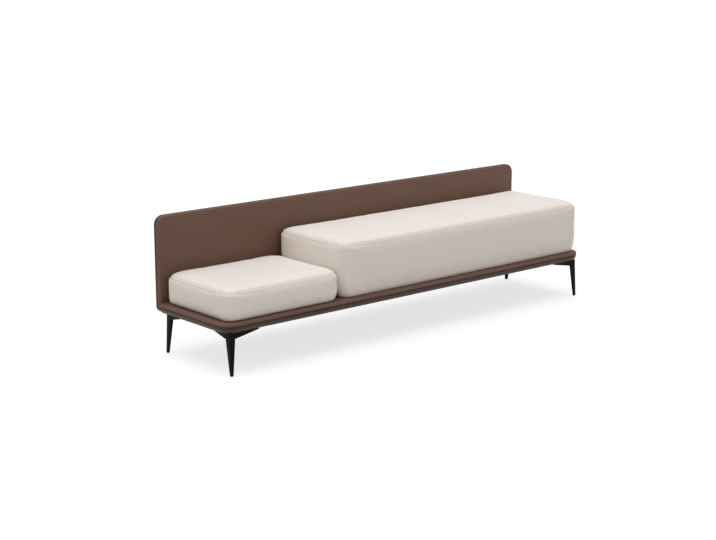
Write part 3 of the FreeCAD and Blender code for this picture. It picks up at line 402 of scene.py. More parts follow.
class Draft:
    """Points and faces gathered before they become one mesh."""

    def __init__(self) -> None:
        """Start with nothing."""
        self.points: list[Vector] = []
        self.faces: list[tuple[int, ...]] = []

    def row(self, points: Iterable[Sequence[float]]) -> list[int]:
        """Add points.

        Args:
            points: The points.

        Returns:
            Their numbers.
        """
        start = len(self.points)
        self.points.extend(Vector(point) for point in points)
        return list(range(start, len(self.points)))

    def level(self, ring: Iterable[tuple[float, float]], z: float) -> list[int]:
        """Add a flat ring at a height and give its points' numbers."""
        return self.row((x, y, z) for x, y in ring)

    def skirt(self, start: Sequence[int], rings: Sequence[Sequence[int]],
              flip: bool = False) -> Sequence[int]:
        """Join a ring of points to further rings with quads.

        Args:
            start: The first ring.
            rings: The rings that follow it.
            flip: Whether the faces look the other way.

        Returns:
            The last ring.
        """
        above = start
        for ring in rings:
            upper, lower = (ring, above) if flip else (above, ring)
            for i in range(len(ring)):
                j = (i + 1) % len(ring)
                self.faces.append((upper[i], lower[i], lower[j], upper[j]))
            above = ring
        return above

    def patch(self, rows: Sequence[Sequence[int]], flip: bool = False) -> None:
        """Fill a grid of points with quads.

        Args:
            rows: Numbers of the points, row by row.
            flip: Whether the faces look the other way.
        """
        for first, second in zip(rows, rows[1:]):
            for i in range(len(first) - 1):
                quad = (first[i], first[i + 1], second[i + 1], second[i])
                self.faces.append(tuple(reversed(quad)) if flip else quad)

    def tube(self, path: Sequence[Vector], radii: Sequence[float], sides: int,
             closed: bool = False) -> None:
        """Sweep a round section along a path.

        Args:
            path: Points of the centre line.
            radii: Radius at each point.
            sides: Points round the section.
            closed: Whether the path is a ring.
        """
        rings = []
        count = len(path)
        for i, point in enumerate(path):
            before = path[i - 1] if closed or i else path[0]
            after = path[(i + 1) % count] if closed or i < count - 1 else path[-1]
            along = (after - before).normalized()
            side = along.cross(ODD_WAY).normalized()
            rise = side.cross(along)
            turns = [2 * math.pi * k / sides for k in range(sides)]
            ring = [point + (side * math.cos(t) + rise * math.sin(t)) * radii[i] for t in turns]
            rings.append(self.row(ring))
        self.skirt(rings[0], rings[1:] + (rings[:1] if closed else []))
        if not closed:
            self.faces.append(tuple(rings[0]))
            self.faces.append(tuple(reversed(rings[-1])))

    def slab(self, outline: Sequence[Sequence[float]], near: float, far: float, bevel: float) -> None:
        """Thicken an outline in X and Z along Y, with bevelled edges.

        Args:
            outline: Points of the outline, counted round as seen from the rear.
            near: Y of one face.
            far: Y of the other.
            bevel: Width of the bevels.
        """
        middle = Vector((sum(p[0] for p in outline), 0, sum(p[1] for p in outline))) / len(outline)
        rings = []
        for level, inset in ((near, bevel), (near + bevel, 0.0), (far - bevel, 0.0), (far, bevel)):
            ring = []
            for x, z in outline:
                point = Vector((x, 0, z))
                point -= (point - middle).normalized() * inset
                ring.append((point.x, level, point.z))
            rings.append(self.row(ring))
        self.skirt(rings[0], rings[1:])
        self.faces.append(tuple(rings[0]))
        self.faces.append(tuple(reversed(rings[-1])))

    def piece(self, name: str, finish: Finish, smooth: bool = True) -> bpy.types.Object:
        """Make the mesh object.

        Args:
            name: Name of the piece.
            finish: Its finish.
            smooth: Whether faces are shaded smooth.

        Returns:
            The object, in the scene.
        """
        mesh = bpy.data.meshes.new(name)
        mesh.from_pydata([tuple(p) for p in self.points], [], self.faces)
        mesh.validate()
        mesh.polygons.foreach_set("use_smooth", [smooth] * len(mesh.polygons))
        mesh.materials.append(PALETTE.of(finish))
        made = bpy.data.objects.new(name, mesh)
        bpy.context.scene.collection.objects.link(made)
        return made


def settle(piece: bpy.types.Object, body: Body, nodes: Iterable[str] = ()) -> bpy.types.Object:
    """Tie a piece to its body and the nodes it stands for.

    Args:
        piece: The piece, in place.
        body: Body it rides on.
        nodes: Nodes it stands for.

    Returns:
        The piece.
    """
    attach(piece, body.value)
    names = list(nodes)
    if names:
        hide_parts(*names)
    log.info("made %s", piece.name)
    return piece


def graded(length: float, edges: Sequence[float], step: float) -> list[float]:
    """Give shares of a length that are close together near both ends.

    Args:
        length: The length.
        edges: Rising distances from either end.
        step: Greatest distance between the rest.

    Returns:
        Rising shares from 0 to 1.
    """
    near = [e / length for e in edges if e < length / 2 - step / 4]
    span = 1 - 2 * near[-1]
    count = max(1, round(span * length / step))
    middle = [near[-1] + span * i / count for i in range(1, count)]
    return near + middle + [1 - share for share in reversed(near)]


@dataclass(frozen=True)
class Plan:
    """A rectangle with rounded corners, laid out as a grid whose rim follows the rounding."""

    left: float
    right: float
    front: float
    rear: float
    front_radius: float
    rear_radius: float

    def inset(self, sides: float, rear: float) -> "Plan":
        """Give the outline set in at the front and the ends, and at the rear."""
        return Plan(self.left + sides, self.right - sides, self.front + sides, self.rear - rear,
                    max(self.front_radius - sides, 0.0), max(self.rear_radius - sides, 0.0))

    def at(self, across: float, along: float) -> tuple[float, float, float]:
        """Give a grid point and its distance from the rim.

        Args:
            across: Share of the length.
            along: Share of the depth.

        Returns:
            Both coordinates and the distance from the rim.
        """
        x = self.left + (self.right - self.left) * across
        y = self.front + (self.rear - self.front) * along
        radius = self.front_radius if along < 0.5 else self.rear_radius
        centre_x = min(max(x, self.left + radius), self.right - radius)
        centre_y = min(max(y, self.front + radius), self.rear - radius)
        over_x = x - centre_x
        over_y = y - centre_y
        if over_x and over_y:
            reach = max(abs(over_x), abs(over_y))
            scale = reach / math.hypot(over_x, over_y)
            x = centre_x + over_x * scale
            y = centre_y + over_y * scale
        return x, y, self.depth(x, y, radius)

    def depth(self, x: float, y: float, radius: float) -> float:
        """Give how far inside the outline a point lies, along contours that keep their corner radius.

        Args:
            x: Its first coordinate.
            y: Its second coordinate.
            radius: Radius of the contours' corners.

        Returns:
            The inset of the contour through the point.
        """
        from_side = min(x - self.left, self.right - x)
        from_end = min(y - self.front, self.rear - y)
        short = 2 * radius - from_side - from_end
        square = short ** 2 - 2 * ((radius - from_side) ** 2 + (radius - from_end) ** 2 - radius ** 2)
        inset = (math.sqrt(max(square, 0.0)) - short) / 2
        if from_side - inset < radius and from_end - inset < radius:
            return max(inset, 0.0)
        return max(min(from_side, from_end), 0.0)


def rim(rows: Sequence[Sequence[Any]]) -> list[Any]:
    """Give the border of a grid as a ring, from its first corner along its first row."""
    ring = list(rows[0]) + [row[-1] for row in rows[1:]]
    return ring + list(reversed(rows[-1]))[1:] + [row[0] for row in reversed(rows[1:-1])]


class Grid:
    """A grid over a plan, with close rows near its rim."""

    def __init__(self, plan: Plan, edges: Sequence[float], step: float) -> None:
        """Lay out the shares of the length and the depth.

        Args:
            plan: The plan.
            edges: Rising distances of the close rows from the rim.
            step: Greatest distance between the rest.
        """
        self.plan = plan
        self.across = graded(plan.right - plan.left, edges, step)
        self.along = graded(plan.rear - plan.front, edges, step)
        self.shares = rim([[(u, v) for u in self.across] for v in self.along])

    def ring(self, sides: float, rear: float) -> list[tuple[float, float]]:
        """Give the rim, set in at the front and the ends, and at the rear."""
        plan = self.plan.inset(sides, rear)
        return [plan.at(u, v)[:2] for u, v in self.shares]

    def rows(self, draft: Draft, sides: float, rear: float,
             place: Callable[[float, float, float], Sequence[float]]) -> list[list[int]]:
        """Add the whole grid to a mesh, set in like a ring.

        Args:
            draft: The mesh.
            sides: Inset at the front and the ends.
            rear: Inset at the rear.
            place: Gives a point from its two coordinates and its distance from the rim.

        Returns:
            Numbers of the points, row by row.
        """
        plan = self.plan.inset(sides, rear)
        return [draft.row(place(*plan.at(u, v)) for u in self.across) for v in self.along]


def rounded(radius: float, steps: int = 6) -> list[tuple[float, float]]:
    """Give a rounded edge from a flat face outwards.

    Args:
        radius: Radius of the edge.
        steps: Points on the quarter circle.

    Returns:
        Pairs of the inset from the side and the drop from the face.
    """
    turns = [math.pi / 2 * i / steps for i in range(1, steps + 1)]
    return [(radius * (1 - math.sin(turn)), radius * (1 - math.cos(turn))) for turn in turns]


def clamp(value: float) -> float:
    """Keep a value from 0 to 1."""
    return min(max(value, 0.0), 1.0)


@dataclass(frozen=True)
class Filling:
    """Soft filling that blows a closed cover up as cloth, with its seams held."""

    limit: float = 0.0045
    pressure: float = 4.0
    slack_share: float = 0.006
    stiffness: float = 25.0
    bending: float = 2.0
    quality: int = 6
    steps: int = 20

    def swell(self, cover: bpy.types.Object, held: Sequence[int]) -> None:
        """Blow a cover up.

        Args:
            cover: The closed cover.
            held: Points that stay.
        """
        scene = bpy.context.scene
        rest = [vertex.co.copy() for vertex in cover.data.vertices]
        group = cover.vertex_groups.new(name="held")
        group.add(list(held), 1.0, "REPLACE")
        cloth = cover.modifiers.new("filling", "CLOTH")
        cloth.settings.quality = self.quality
        cloth.settings.tension_stiffness = self.stiffness
        cloth.settings.compression_stiffness = self.stiffness
        cloth.settings.bending_stiffness = self.bending
        cloth.settings.use_pressure = True
        cloth.settings.uniform_pressure_force = self.pressure
        cloth.settings.vertex_group_mass = group.name
        cloth.settings.shrink_min = -self.slack_share
        cloth.settings.effector_weights.gravity = 0
        cloth.collision_settings.use_collision = False
        cloth.point_cache.frame_start = 1
        cloth.point_cache.frame_end = self.steps
        for step in range(1, self.steps + 1):
            scene.frame_set(step)
        swollen = cover.evaluated_get(bpy.context.evaluated_depsgraph_get())
        moved = [vertex.co.copy() for vertex in swollen.data.vertices]
        cover.modifiers.remove(cloth)
        cover.vertex_groups.remove(group)
        scene.frame_set(1)
        farthest = 0.0
        for vertex, start, end in zip(cover.data.vertices, rest, moved):
            shift = end - start
            farthest = max(farthest, shift.length)
            vertex.co = start + shift * (self.limit / (self.limit + shift.length))
        cover.data.update()
        log.info("%s swelled by up to %.4f m before the limit", cover.name, farthest)


@dataclass
class Stitches:
    """Rows of short visible stitches."""

    name: str
    finish: Finish
    length: float = 0.005
    spacing: float = 0.0075
    thickness: float = 0.0009
    lead_share: float = 0.15
    # Pairs of a share of the length and a share of the thickness above the surface
    arch_shares: Pairs = ((0.0, -0.5), (0.12, 0.35), (0.5, 0.55), (0.88, 0.35), (1.0, -0.5))
    radius_shares: Sequence[float] = (0.25, 0.5, 0.5, 0.5, 0.25)
    sides: int = 6
    shortest: float = 1e-9
    draft: Draft = field(default_factory=Draft)

    def along(self, path: Sequence[Vector], normals: Sequence[Vector], closed: bool) -> None:
        """Sew along a line on a surface.

        Args:
            path: Points of the line.
            normals: The surface's normals there.
            closed: Whether the line is a ring.
        """
        points = list(path) + ([path[0]] if closed else [])
        ways = list(normals) + ([normals[0]] if closed else [])
        lengths = [0.0]
        for first, second in zip(points, points[1:]):
            lengths.append(lengths[-1] + (second - first).length)
        radii = [self.thickness * share for share in self.radius_shares]
        count = int(lengths[-1] / self.spacing)
        index = 0
        for number in range(count):
            start = lengths[-1] * (number + self.lead_share) / count
            line = []
            for share, lift in self.arch_shares:
                target = start + self.length * share
                while index < len(lengths) - 2 and lengths[index + 1] < target:
                    index += 1
                part = (target - lengths[index]) / max(lengths[index + 1] - lengths[index], self.shortest)
                spot = points[index].lerp(points[index + 1], part)
                line.append(spot + ways[index].lerp(ways[index + 1], part) * (self.thickness * lift))
            self.draft.tube(line, radii, self.sides)

    def piece(self, body: Body, slot: Slot) -> bpy.types.Object:
        """Make the stitches one piece on a body."""
        return settle(self.draft.piece(self.name, self.finish), body)


# Cushions

@dataclass
class Cushion:
    """A loose boxed cushion: top panel, boxing and bottom panel in one cover, with its seams and zip."""

    name: str
    body: Body
    zip_body: Body
    left_in: float
    right_in: float
    rear_radius: float
    corner_seams: bool
    front_in: float = 0.00016
    corner_radius: float = 0.05
    crown_height: float = 0.0215
    crown_reach: float = 0.10
    crown_power: int = 5
    roll_height: float = 0.0095
    roll_reach: float = 0.0085
    seam_draw: float = 0.001
    seam_power: int = 2
    widest_share: float = 0.45
    foot_draw: float = 0.012
    foot_power: float = 3.2
    foot_roll: float = 0.0045
    # Pairs of a share of the side's height and a share of the foot's roll
    foot_shares: Pairs = ((0.11, 0.0), (0.06, 0.12), (0.025, 0.4), (0.006, 0.75), (0.0, 1.3))
    upright_share: float = 0.13
    flat_foot: float = 0.0005
    groove: float = 0.005
    groove_drop: float = 0.0006
    # Pairs of inset and drop from the seam
    shoulder: Pairs = ((0.0042, -0.0004), (0.0033, -0.0001), (0.0023, 0.0008), (0.0014, 0.0022),
                       (0.0007, 0.0043), (0.0002, 0.0076))
    below_shoulder: float = 1.6
    zip_share: float = 0.5
    zip_strip: float = 0.026
    zip_skin: float = 0.002
    edges: Sequence[float] = (0.0, 0.001, 0.0025, 0.005, 0.009, 0.014, 0.02, 0.027, 0.035, 0.044, 0.054)
    step: float = 0.011
    least_rings: int = 4
    fill: float = 0.9
    filling: Filling = Filling()
    cord_radius: float = 0.0011
    cord_lift: float = 0.0006
    corner_cord_radius: float = 0.0009
    corner_cord_lift: float = 0.0001
    cord_sides: int = 8
    stitch_row: int = 3
    stitch_offset: float = 0.004

    def __post_init__(self) -> None:
        """Lay out the grid inside the boxing's box."""
        low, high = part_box(f"{self.name}_boxing")
        self.foot = low.z
        self.seam = high.z
        self.rear = high.y
        self.seam_height = high.z - low.z
        plan = Plan(low.x + self.left_in, high.x - self.right_in, low.y + self.front_in, high.y,
                    self.corner_radius, self.rear_radius)
        self.grid = Grid(plan, self.edges, self.step)

    def draw(self, share: float) -> float:
        """Give how far the side is drawn in.

        Args:
            share: Share of the side's height.

        Returns:
            The inset there.
        """
        if share < self.widest_share:
            return self.foot_draw * ((self.widest_share - share) / self.widest_share) ** self.foot_power
        return self.seam_draw * ((share - self.widest_share) / (1 - self.widest_share)) ** self.seam_power

    def crown(self, depth: float) -> float:
        """Give the top panel's height over the seam.

        Args:
            depth: Distance from the rim.

        Returns:
            The height there.
        """
        roll = 1 - min(depth / self.roll_reach, 1.0)
        rise = 1 - min(depth / self.crown_reach, 1.0)
        broad = (self.crown_height - self.roll_height) * (1 - rise ** self.crown_power)
        return self.roll_height * math.sqrt(1 - roll ** 2) + broad

    def build(self) -> None:
        """Make the cover, its seams and the zip."""
        draft = Draft()
        top = self.lay_top(draft)
        sides = self.lay_sides(draft)
        self.close_foot(draft, draft.skirt(rim(top), sides))
        cover = draft.piece(f"{self.name}_cushion_cover", CREAM)
        still = [i for i, point in enumerate(draft.points) if self.stays(point)]
        self.filling.swell(cover, rim(top) + sides[0] + still)
        smooth = cover.modifiers.new("smooth", "SUBSURF")
        smooth.levels = 1
        smooth.render_levels = 1
        parts = ("boxing", "cover_bottom", "cover_top", "foam", "topper")
        settle(cover, self.body, [f"{self.name}_{part}" for part in parts])
        self.sew(cover, top, sides)
        Zip(self.name, self.body, self.zip_body).build()

    def lay_top(self, draft: Draft) -> list[list[int]]:
        """Lay the crowned top panel inside the seam.

        Args:
            draft: The cover's mesh.

        Returns:
            Numbers of its points, row by row.
        """
        rows = self.grid.rows(draft, self.seam_draw + self.groove, self.groove,
                              lambda x, y, depth: (x, y, self.seam - self.groove_drop + self.crown(depth)))
        draft.patch(rows)
        return rows

    def lay_sides(self, draft: Draft) -> list[list[int]]:
        """Lay the boxing's rings from the seam to the rolled foot.

        Args:
            draft: The cover's mesh.

        Returns:
            Numbers of the rings' points, downwards.
        """
        rings = []
        for inward, drop in self.shoulder:
            inset = self.draw(min(1 - drop / self.seam_height, 1.0)) + inward
            rings.append(draft.level(self.grid.ring(inset, inward), self.seam - drop))
        first = 1 - self.shoulder[-1][1] * self.below_shoulder / self.seam_height
        count = max(self.least_rings, round(self.seam_height / self.step))
        upright = [(first + (self.upright_share - first) * i / count, 0.0) for i in range(count)]
        for share, inward in (*upright, *self.foot_shares):
            roll = self.foot_roll * inward
            ring = self.grid.ring(self.draw(share) + roll, roll)
            rings.append(draft.level(ring, self.foot + self.seam_height * share))
        return rings

    def stays(self, point: Vector) -> bool:
        """Tell whether a point doesn't swell, on the foot or in the stiff strip round the zip.

        Args:
            point: A point of the cover.

        Returns:
            Whether it stays.
        """
        level = self.foot + self.seam_height * self.zip_share
        beside_zip = point.y > self.rear - self.zip_skin and abs(point.z - level) < self.zip_strip
        return beside_zip or point.z < self.foot + self.flat_foot

    def close_foot(self, draft: Draft, border: Sequence[int]) -> None:
        """Fill the flat underside inside its border.

        Args:
            draft: The cover's mesh.
            border: The boxing's last ring.
        """
        roll = self.foot_roll * self.foot_shares[-1][1]
        plan = self.grid.plan.inset(self.draw(0.0) + roll, roll)
        numbers = dict(zip(self.grid.shares, border))
        rows = []
        for v in self.grid.along:
            row = []
            for u in self.grid.across:
                if (u, v) in numbers:
                    row.append(numbers[(u, v)])
                else:
                    row += draft.row([(*plan.at(u, v)[:2], self.foot)])
            rows.append(row)
        draft.patch(rows, flip=True)

    def sew(self, cover: bpy.types.Object, top: Sequence[Sequence[int]],
            sides: Sequence[Sequence[int]]) -> None:
        """Add the cord and stitches of the top seam, and the upright seams at the front corners.

        Args:
            cover: The finished cover.
            top: Points of the top panel.
            sides: Rings of the boxing, downwards.
        """
        points = [vertex.co.copy() for vertex in cover.data.vertices]
        normals = [vertex.normal.copy() for vertex in cover.data.vertices]
        stitches = Stitches(f"{self.name}_cushion_stitches", CREAM_THREAD)
        lift = Vector((0, 0, self.cord_lift))
        seam = [points[i] + lift for i in rim(top)]
        # The cord's darker colour partly paints the shade in the seam groove.
        cord = Draft()
        cord.tube(seam, [self.cord_radius] * len(seam), self.cord_sides, closed=True)
        settle(cord.piece(f"{self.name}_cushion_seam", SEAM_THREAD_AND_SHADE), self.body)
        row = slice(self.stitch_row, -self.stitch_row)
        inner = rim([numbers[row] for numbers in top[row]])
        stitches.along([points[i] for i in inner], [normals[i] for i in inner], True)
        if self.corner_seams:
            self.sew_corners(points, normals, sides, stitches)
        stitches.piece(self.body, Slot.CREAM)

    def sew_corners(self, points: Sequence[Vector], normals: Sequence[Vector],
                    sides: Sequence[Sequence[int]], stitches: Stitches) -> None:
        """Add the upright seams at the front corners.

        Args:
            points: Points of the cover.
            normals: The cover's normals there.
            sides: Rings of the boxing, downwards.
            stitches: Stitches that the seams' own are added to.
        """
        cords = Draft()
        beside = Vector((self.stitch_offset, 0, 0))
        for corner in (0, len(self.grid.across) - 1):
            column = [ring[corner] for ring in sides[1:-1]]
            line = [points[i] + normals[i] * self.corner_cord_lift for i in column]
            cords.tube(line, [self.corner_cord_radius] * len(line), self.cord_sides)
            stitches.along([points[i] + beside for i in column], [normals[i] for i in column], False)
        settle(cords.piece(f"{self.name}_cushion_corner_seams", CREAM), self.body)


@dataclass
class Zip:
    """A zip: woven tape with interlocking teeth, and the slider with its pull."""

    name: str
    body: Body
    slider_body: Body
    half_gap: float = 0.0006
    tape_thickness: float = 0.0006
    tape_bevel: float = 0.00015
    end_margin: float = 0.003
    tooth_pitch: float = 0.0026
    tooth_height: float = 0.0042
    tooth_radii: Sequence[float] = (0.00081, 0.00063, 0.00045)
    tooth_sides: int = 6
    # Pairs of X and Z from the slider's middle
    shield: Pairs = ((0.006, -0.0022), (0.006, 0.0022), (0.002, 0.0045), (-0.004, 0.0042),
                     (-0.006, 0.003), (-0.006, -0.003), (-0.004, -0.0042), (0.002, -0.0045))
    shield_height: float = 0.0045
    shield_near: float = 0.0003
    shield_far: float = 0.0013
    shield_bevel: float = 0.0003
    bridge_half: float = 0.0035
    bridge_rise: float = 0.0009
    bridge_radius: float = 0.0006
    bridge_steps: int = 6
    bridge_sides: int = 8
    pull_half: tuple[float, float] = (0.003, 0.00952)
    pull_height: float = 0.0098
    pull_near: float = 0.0013
    pull_far: float = 0.0002
    pull_steps: int = 24
    hole_half: tuple[float, float] = (0.0014, 0.0022)
    hole_height: float = 0.0158

    def build(self) -> None:
        """Make the tape, the teeth and the slider."""
        low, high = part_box(f"{self.name}_zip_tape")
        level = (low.z + high.z) / 2
        face = low.y + self.tape_thickness
        tape = Draft()
        for near, far in ((low.z, level - self.half_gap), (level + self.half_gap, high.z)):
            outline = [(high.x, near), (high.x, far), (low.x, far), (low.x, near)]
            tape.slab(outline, low.y, face, self.tape_bevel)
        settle(tape.piece(f"{self.name}_zip_cloth", TAPE_CLOTH, False), self.body,
               [f"{self.name}_zip_tape"])
        teeth = Draft()
        count = int((high.x - low.x - 2 * self.end_margin) / self.tooth_pitch)
        for number in range(count):
            x = low.x + self.end_margin + self.tooth_pitch * number
            side = 1 if number % 2 else -1
            start = level - side * self.half_gap
            end = level + side * self.tooth_height
            path = [Vector((x, face, z)) for z in (start, (start + end) / 2, end)]
            teeth.tube(path, self.tooth_radii, self.tooth_sides)
        settle(teeth.piece(f"{self.name}_zip_teeth", NICKEL), self.body)
        self.build_slider()

    def oval(self, centre: float, level: float, half: tuple[float, float]) -> list[tuple[float, float]]:
        """Give an oval in X and Z.

        Args:
            centre: X of its middle.
            level: Z of its middle.
            half: Half its width and half its height.

        Returns:
            Points round it.
        """
        turns = [2 * math.pi * i / self.pull_steps for i in range(self.pull_steps)]
        return [(centre - half[0] * math.cos(turn), level + half[1] * math.sin(turn)) for turn in turns]

    def build_slider(self) -> None:
        """Make the wedge-shaped slider, its bridge and the holed pull."""
        low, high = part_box(f"{self.name}_zip_slider")
        centre = (low.x + high.x) / 2
        level = high.z - self.shield_height
        draft = Draft()
        shield = [(centre + x, level + z) for x, z in reversed(self.shield)]
        draft.slab(shield, low.y + self.shield_near, low.y + self.shield_far, self.shield_bevel)
        bridge = []
        for i in range(self.bridge_steps + 1):
            share = i / self.bridge_steps
            rise = self.shield_far + self.bridge_rise * math.sin(math.pi * share)
            bridge.append(Vector((centre + self.bridge_half * (2 * share - 1), low.y + rise, level)))
        draft.tube(bridge, [self.bridge_radius] * len(bridge), self.bridge_sides)
        outer = self.oval(centre, low.z + self.pull_height, self.pull_half)
        hole = self.oval(centre, low.z + self.hole_height, self.hole_half)
        near = high.y - self.pull_near
        far = high.y - self.pull_far
        rings = [draft.row((x, y, z) for x, z in line)
                 for line, y in ((outer, near), (outer, far), (hole, far), (hole, near))]
        draft.skirt(rings[0], rings[1:] + rings[:1])
        slider = draft.piece(f"{self.name}_zip_puller", NICKEL)
        settle(slider, self.slider_body, [f"{self.name}_zip_slider"])


# Base

@dataclass
class Base:
    """The upholstered base: top leather, lower band and the welt between them."""

    front_radius: float = 0.05
    edge_round: float = 0.009
    # Pairs of inset and rise from the seam
    top_turn: Pairs = ((0.0001, 0.0027), (0.0009, 0.0021), (0.003, 0.002), (0.006, 0.0023))
    # Pairs of inset and drop from the seam
    band_turn: Pairs = ((0.007, 0.0023), (0.0035, 0.002), (0.002, 0.0022), (0.0014, 0.0031))
    band_top_inset: float = 0.0015
    band_bottom_inset: float = 0.009
    band_power: float = 2.4
    band_steps: int = 9
    fold_rise: float = 0.0012
    # Pairs of inset and rise from the underside
    fold: Pairs = ((0.0088, 0.0007), (0.0096, 0.0002), (0.016, 0.0001), (0.026, 0.0002))
    welt_inset: float = 0.0023
    welt_radius: float = 0.0019
    welt_sides: int = 10
    edges: Sequence[float] = (0.0, 0.004, 0.009, 0.015, 0.022, 0.03, 0.04, 0.05, 0.062)
    step: float = 0.02

    def __post_init__(self) -> None:
        """Take the sizes from the covers' boxes and lay out the grid."""
        low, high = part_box("base_top_cover")
        band_low, band_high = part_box("base_edge_band")
        self.top = high.z
        self.seam = (low.z + band_high.z) / 2
        self.underside = band_low.z
        self.grid = Grid(Plan(low.x, high.x, low.y, high.y, self.front_radius, 0.0), self.edges, self.step)

    def build(self) -> None:
        """Make the leather and the welt."""
        self.build_top()
        self.build_band()
        self.build_welt()

    def build_top(self) -> None:
        """Make the top leather with its rounded edge, turned in at the seam."""
        draft = Draft()
        rows = self.grid.rows(draft, self.edge_round, 0.0, lambda x, y, _: (x, y, self.top))
        draft.patch(rows)
        profile = [(inset, self.top - drop) for inset, drop in rounded(self.edge_round)]
        profile += [(inset, self.seam + rise) for inset, rise in self.top_turn]
        draft.skirt(rim(rows), [draft.level(self.grid.ring(inset, 0.0), z) for inset, z in profile])
        cover = draft.piece("base_top_leather", BROWN)
        settle(cover, Body.ROOT, ["base_top_cover", "base_pad"])

    def build_band(self) -> None:
        """Make the lower band that tapers to the underside and folds under it."""
        draft = Draft()
        start = self.seam - self.band_turn[-1][1]
        end = self.underside + self.fold_rise
        taper = self.band_bottom_inset - self.band_top_inset
        profile = [(inset, self.seam - drop) for inset, drop in self.band_turn]
        for i in range(1, self.band_steps):
            share = i / self.band_steps
            inset = self.band_top_inset + taper * share ** self.band_power
            profile.append((inset, start + (end - start) * share))
        profile += [(inset, self.underside + rise) for inset, rise in self.fold]
        rings = [draft.level(self.grid.ring(inset, 0.0), z) for inset, z in profile]
        draft.skirt(rings[0], rings[1:])
        # The band leather's darkened brown is painted shade for the band's downward-turned bottom.
        band = draft.piece("base_band_leather", BAND_BROWN_AND_SHADE)
        settle(band, Body.ROOT, ["base_edge_band", "base_edge_pad"])

    def build_welt(self) -> None:
        """Make the cord in the seam, round the front and both ends."""
        ring = zip(self.grid.ring(self.welt_inset, 0.0), self.grid.shares)
        line = [Vector((x, y, self.seam)) for (x, y), (_, v) in ring if v < 1]
        start = self.grid.shares.index((1, self.grid.along[-2])) + 1
        line = line[start:] + line[:start]
        draft = Draft()
        draft.tube(line, [self.welt_radius] * len(line), self.welt_sides)
        settle(draft.piece("base_welt_cord", WELT), Body.ROOT, ["base_welt"])


@dataclass
class DustCloth:
    """The cloth stretched under the rails, with its staples."""

    base: Base
    inset: float = 0.016
    drop: float = 0.0003
    thickness: float = 0.0004
    sag: float = 0.0025
    sag_length: float = 0.4
    tight_rim: float = 0.05
    slack_reach: float = 0.06
    edges: Sequence[float] = (0.0, 0.01, 0.022, 0.044)
    step: float = 0.025
    staple_inset: float = 0.007
    staple_drop: float = 0.0005
    staple_half: float = 0.005
    staple_leg: float = 0.0008
    staple_radius: float = 0.0004
    staple_sides: int = 6
    shortest_gap: float = 0.018
    size_digits: int = 4

    def __post_init__(self) -> None:
        """Lay out the grid inside the base's outline."""
        self.plan = self.base.grid.plan.inset(self.inset, 0.0)
        self.grid = Grid(self.plan, self.edges, self.step)

    def hang(self, x: float, y: float, depth: float) -> tuple[float, float, float]:
        """Give a point of the cloth, which sags a little inside its tight rim.

        Args:
            x: Its place along the bench.
            y: Its place across the bench.
            depth: Its distance from the rim.

        Returns:
            The point.
        """
        slack = clamp((depth - self.tight_rim) / self.slack_reach)
        sag = self.sag * slack * abs(math.sin(math.pi * x / self.sag_length))
        return x, y, self.base.underside - self.drop - sag

    def build(self) -> None:
        """Make the cloth and its staples."""
        draft = Draft()
        draft.patch(self.grid.rows(draft, 0.0, 0.0, self.hang), flip=True)
        sheet = draft.piece("base_dust_sheet", DUST_CLOTH)
        thick = sheet.modifiers.new("thickness", "SOLIDIFY")
        thick.thickness = self.thickness
        settle(sheet, Body.ROOT, ["base_dust_cover"])
        staples = settle(self.staples().piece("base_dust_staples", ZINC), Body.ROOT)
        length = round(self.plan.right - self.plan.left, self.size_digits)
        width = round(self.plan.rear - self.plan.front, self.size_digits)

    def staples(self) -> Draft:
        """Set a staple in the middle of each long enough stretch of the border.

        Returns:
            The staples' mesh.
        """
        draft = Draft()
        level = self.base.underside - self.staple_drop
        border = [Vector((x, y, level)) for x, y in self.grid.ring(self.staple_inset, self.staple_inset)]
        rise = Vector((0, 0, self.staple_leg))
        for first, second in zip(border, border[1:]):
            way = second - first
            if way.length > self.shortest_gap:
                middle = (first + second) / 2
                half = way.normalized() * self.staple_half
                path = [middle - half + rise, middle - half, middle + half, middle + half + rise]
                draft.tube(path, [self.staple_radius] * len(path), self.staple_sides)
        return draft


# Back panel

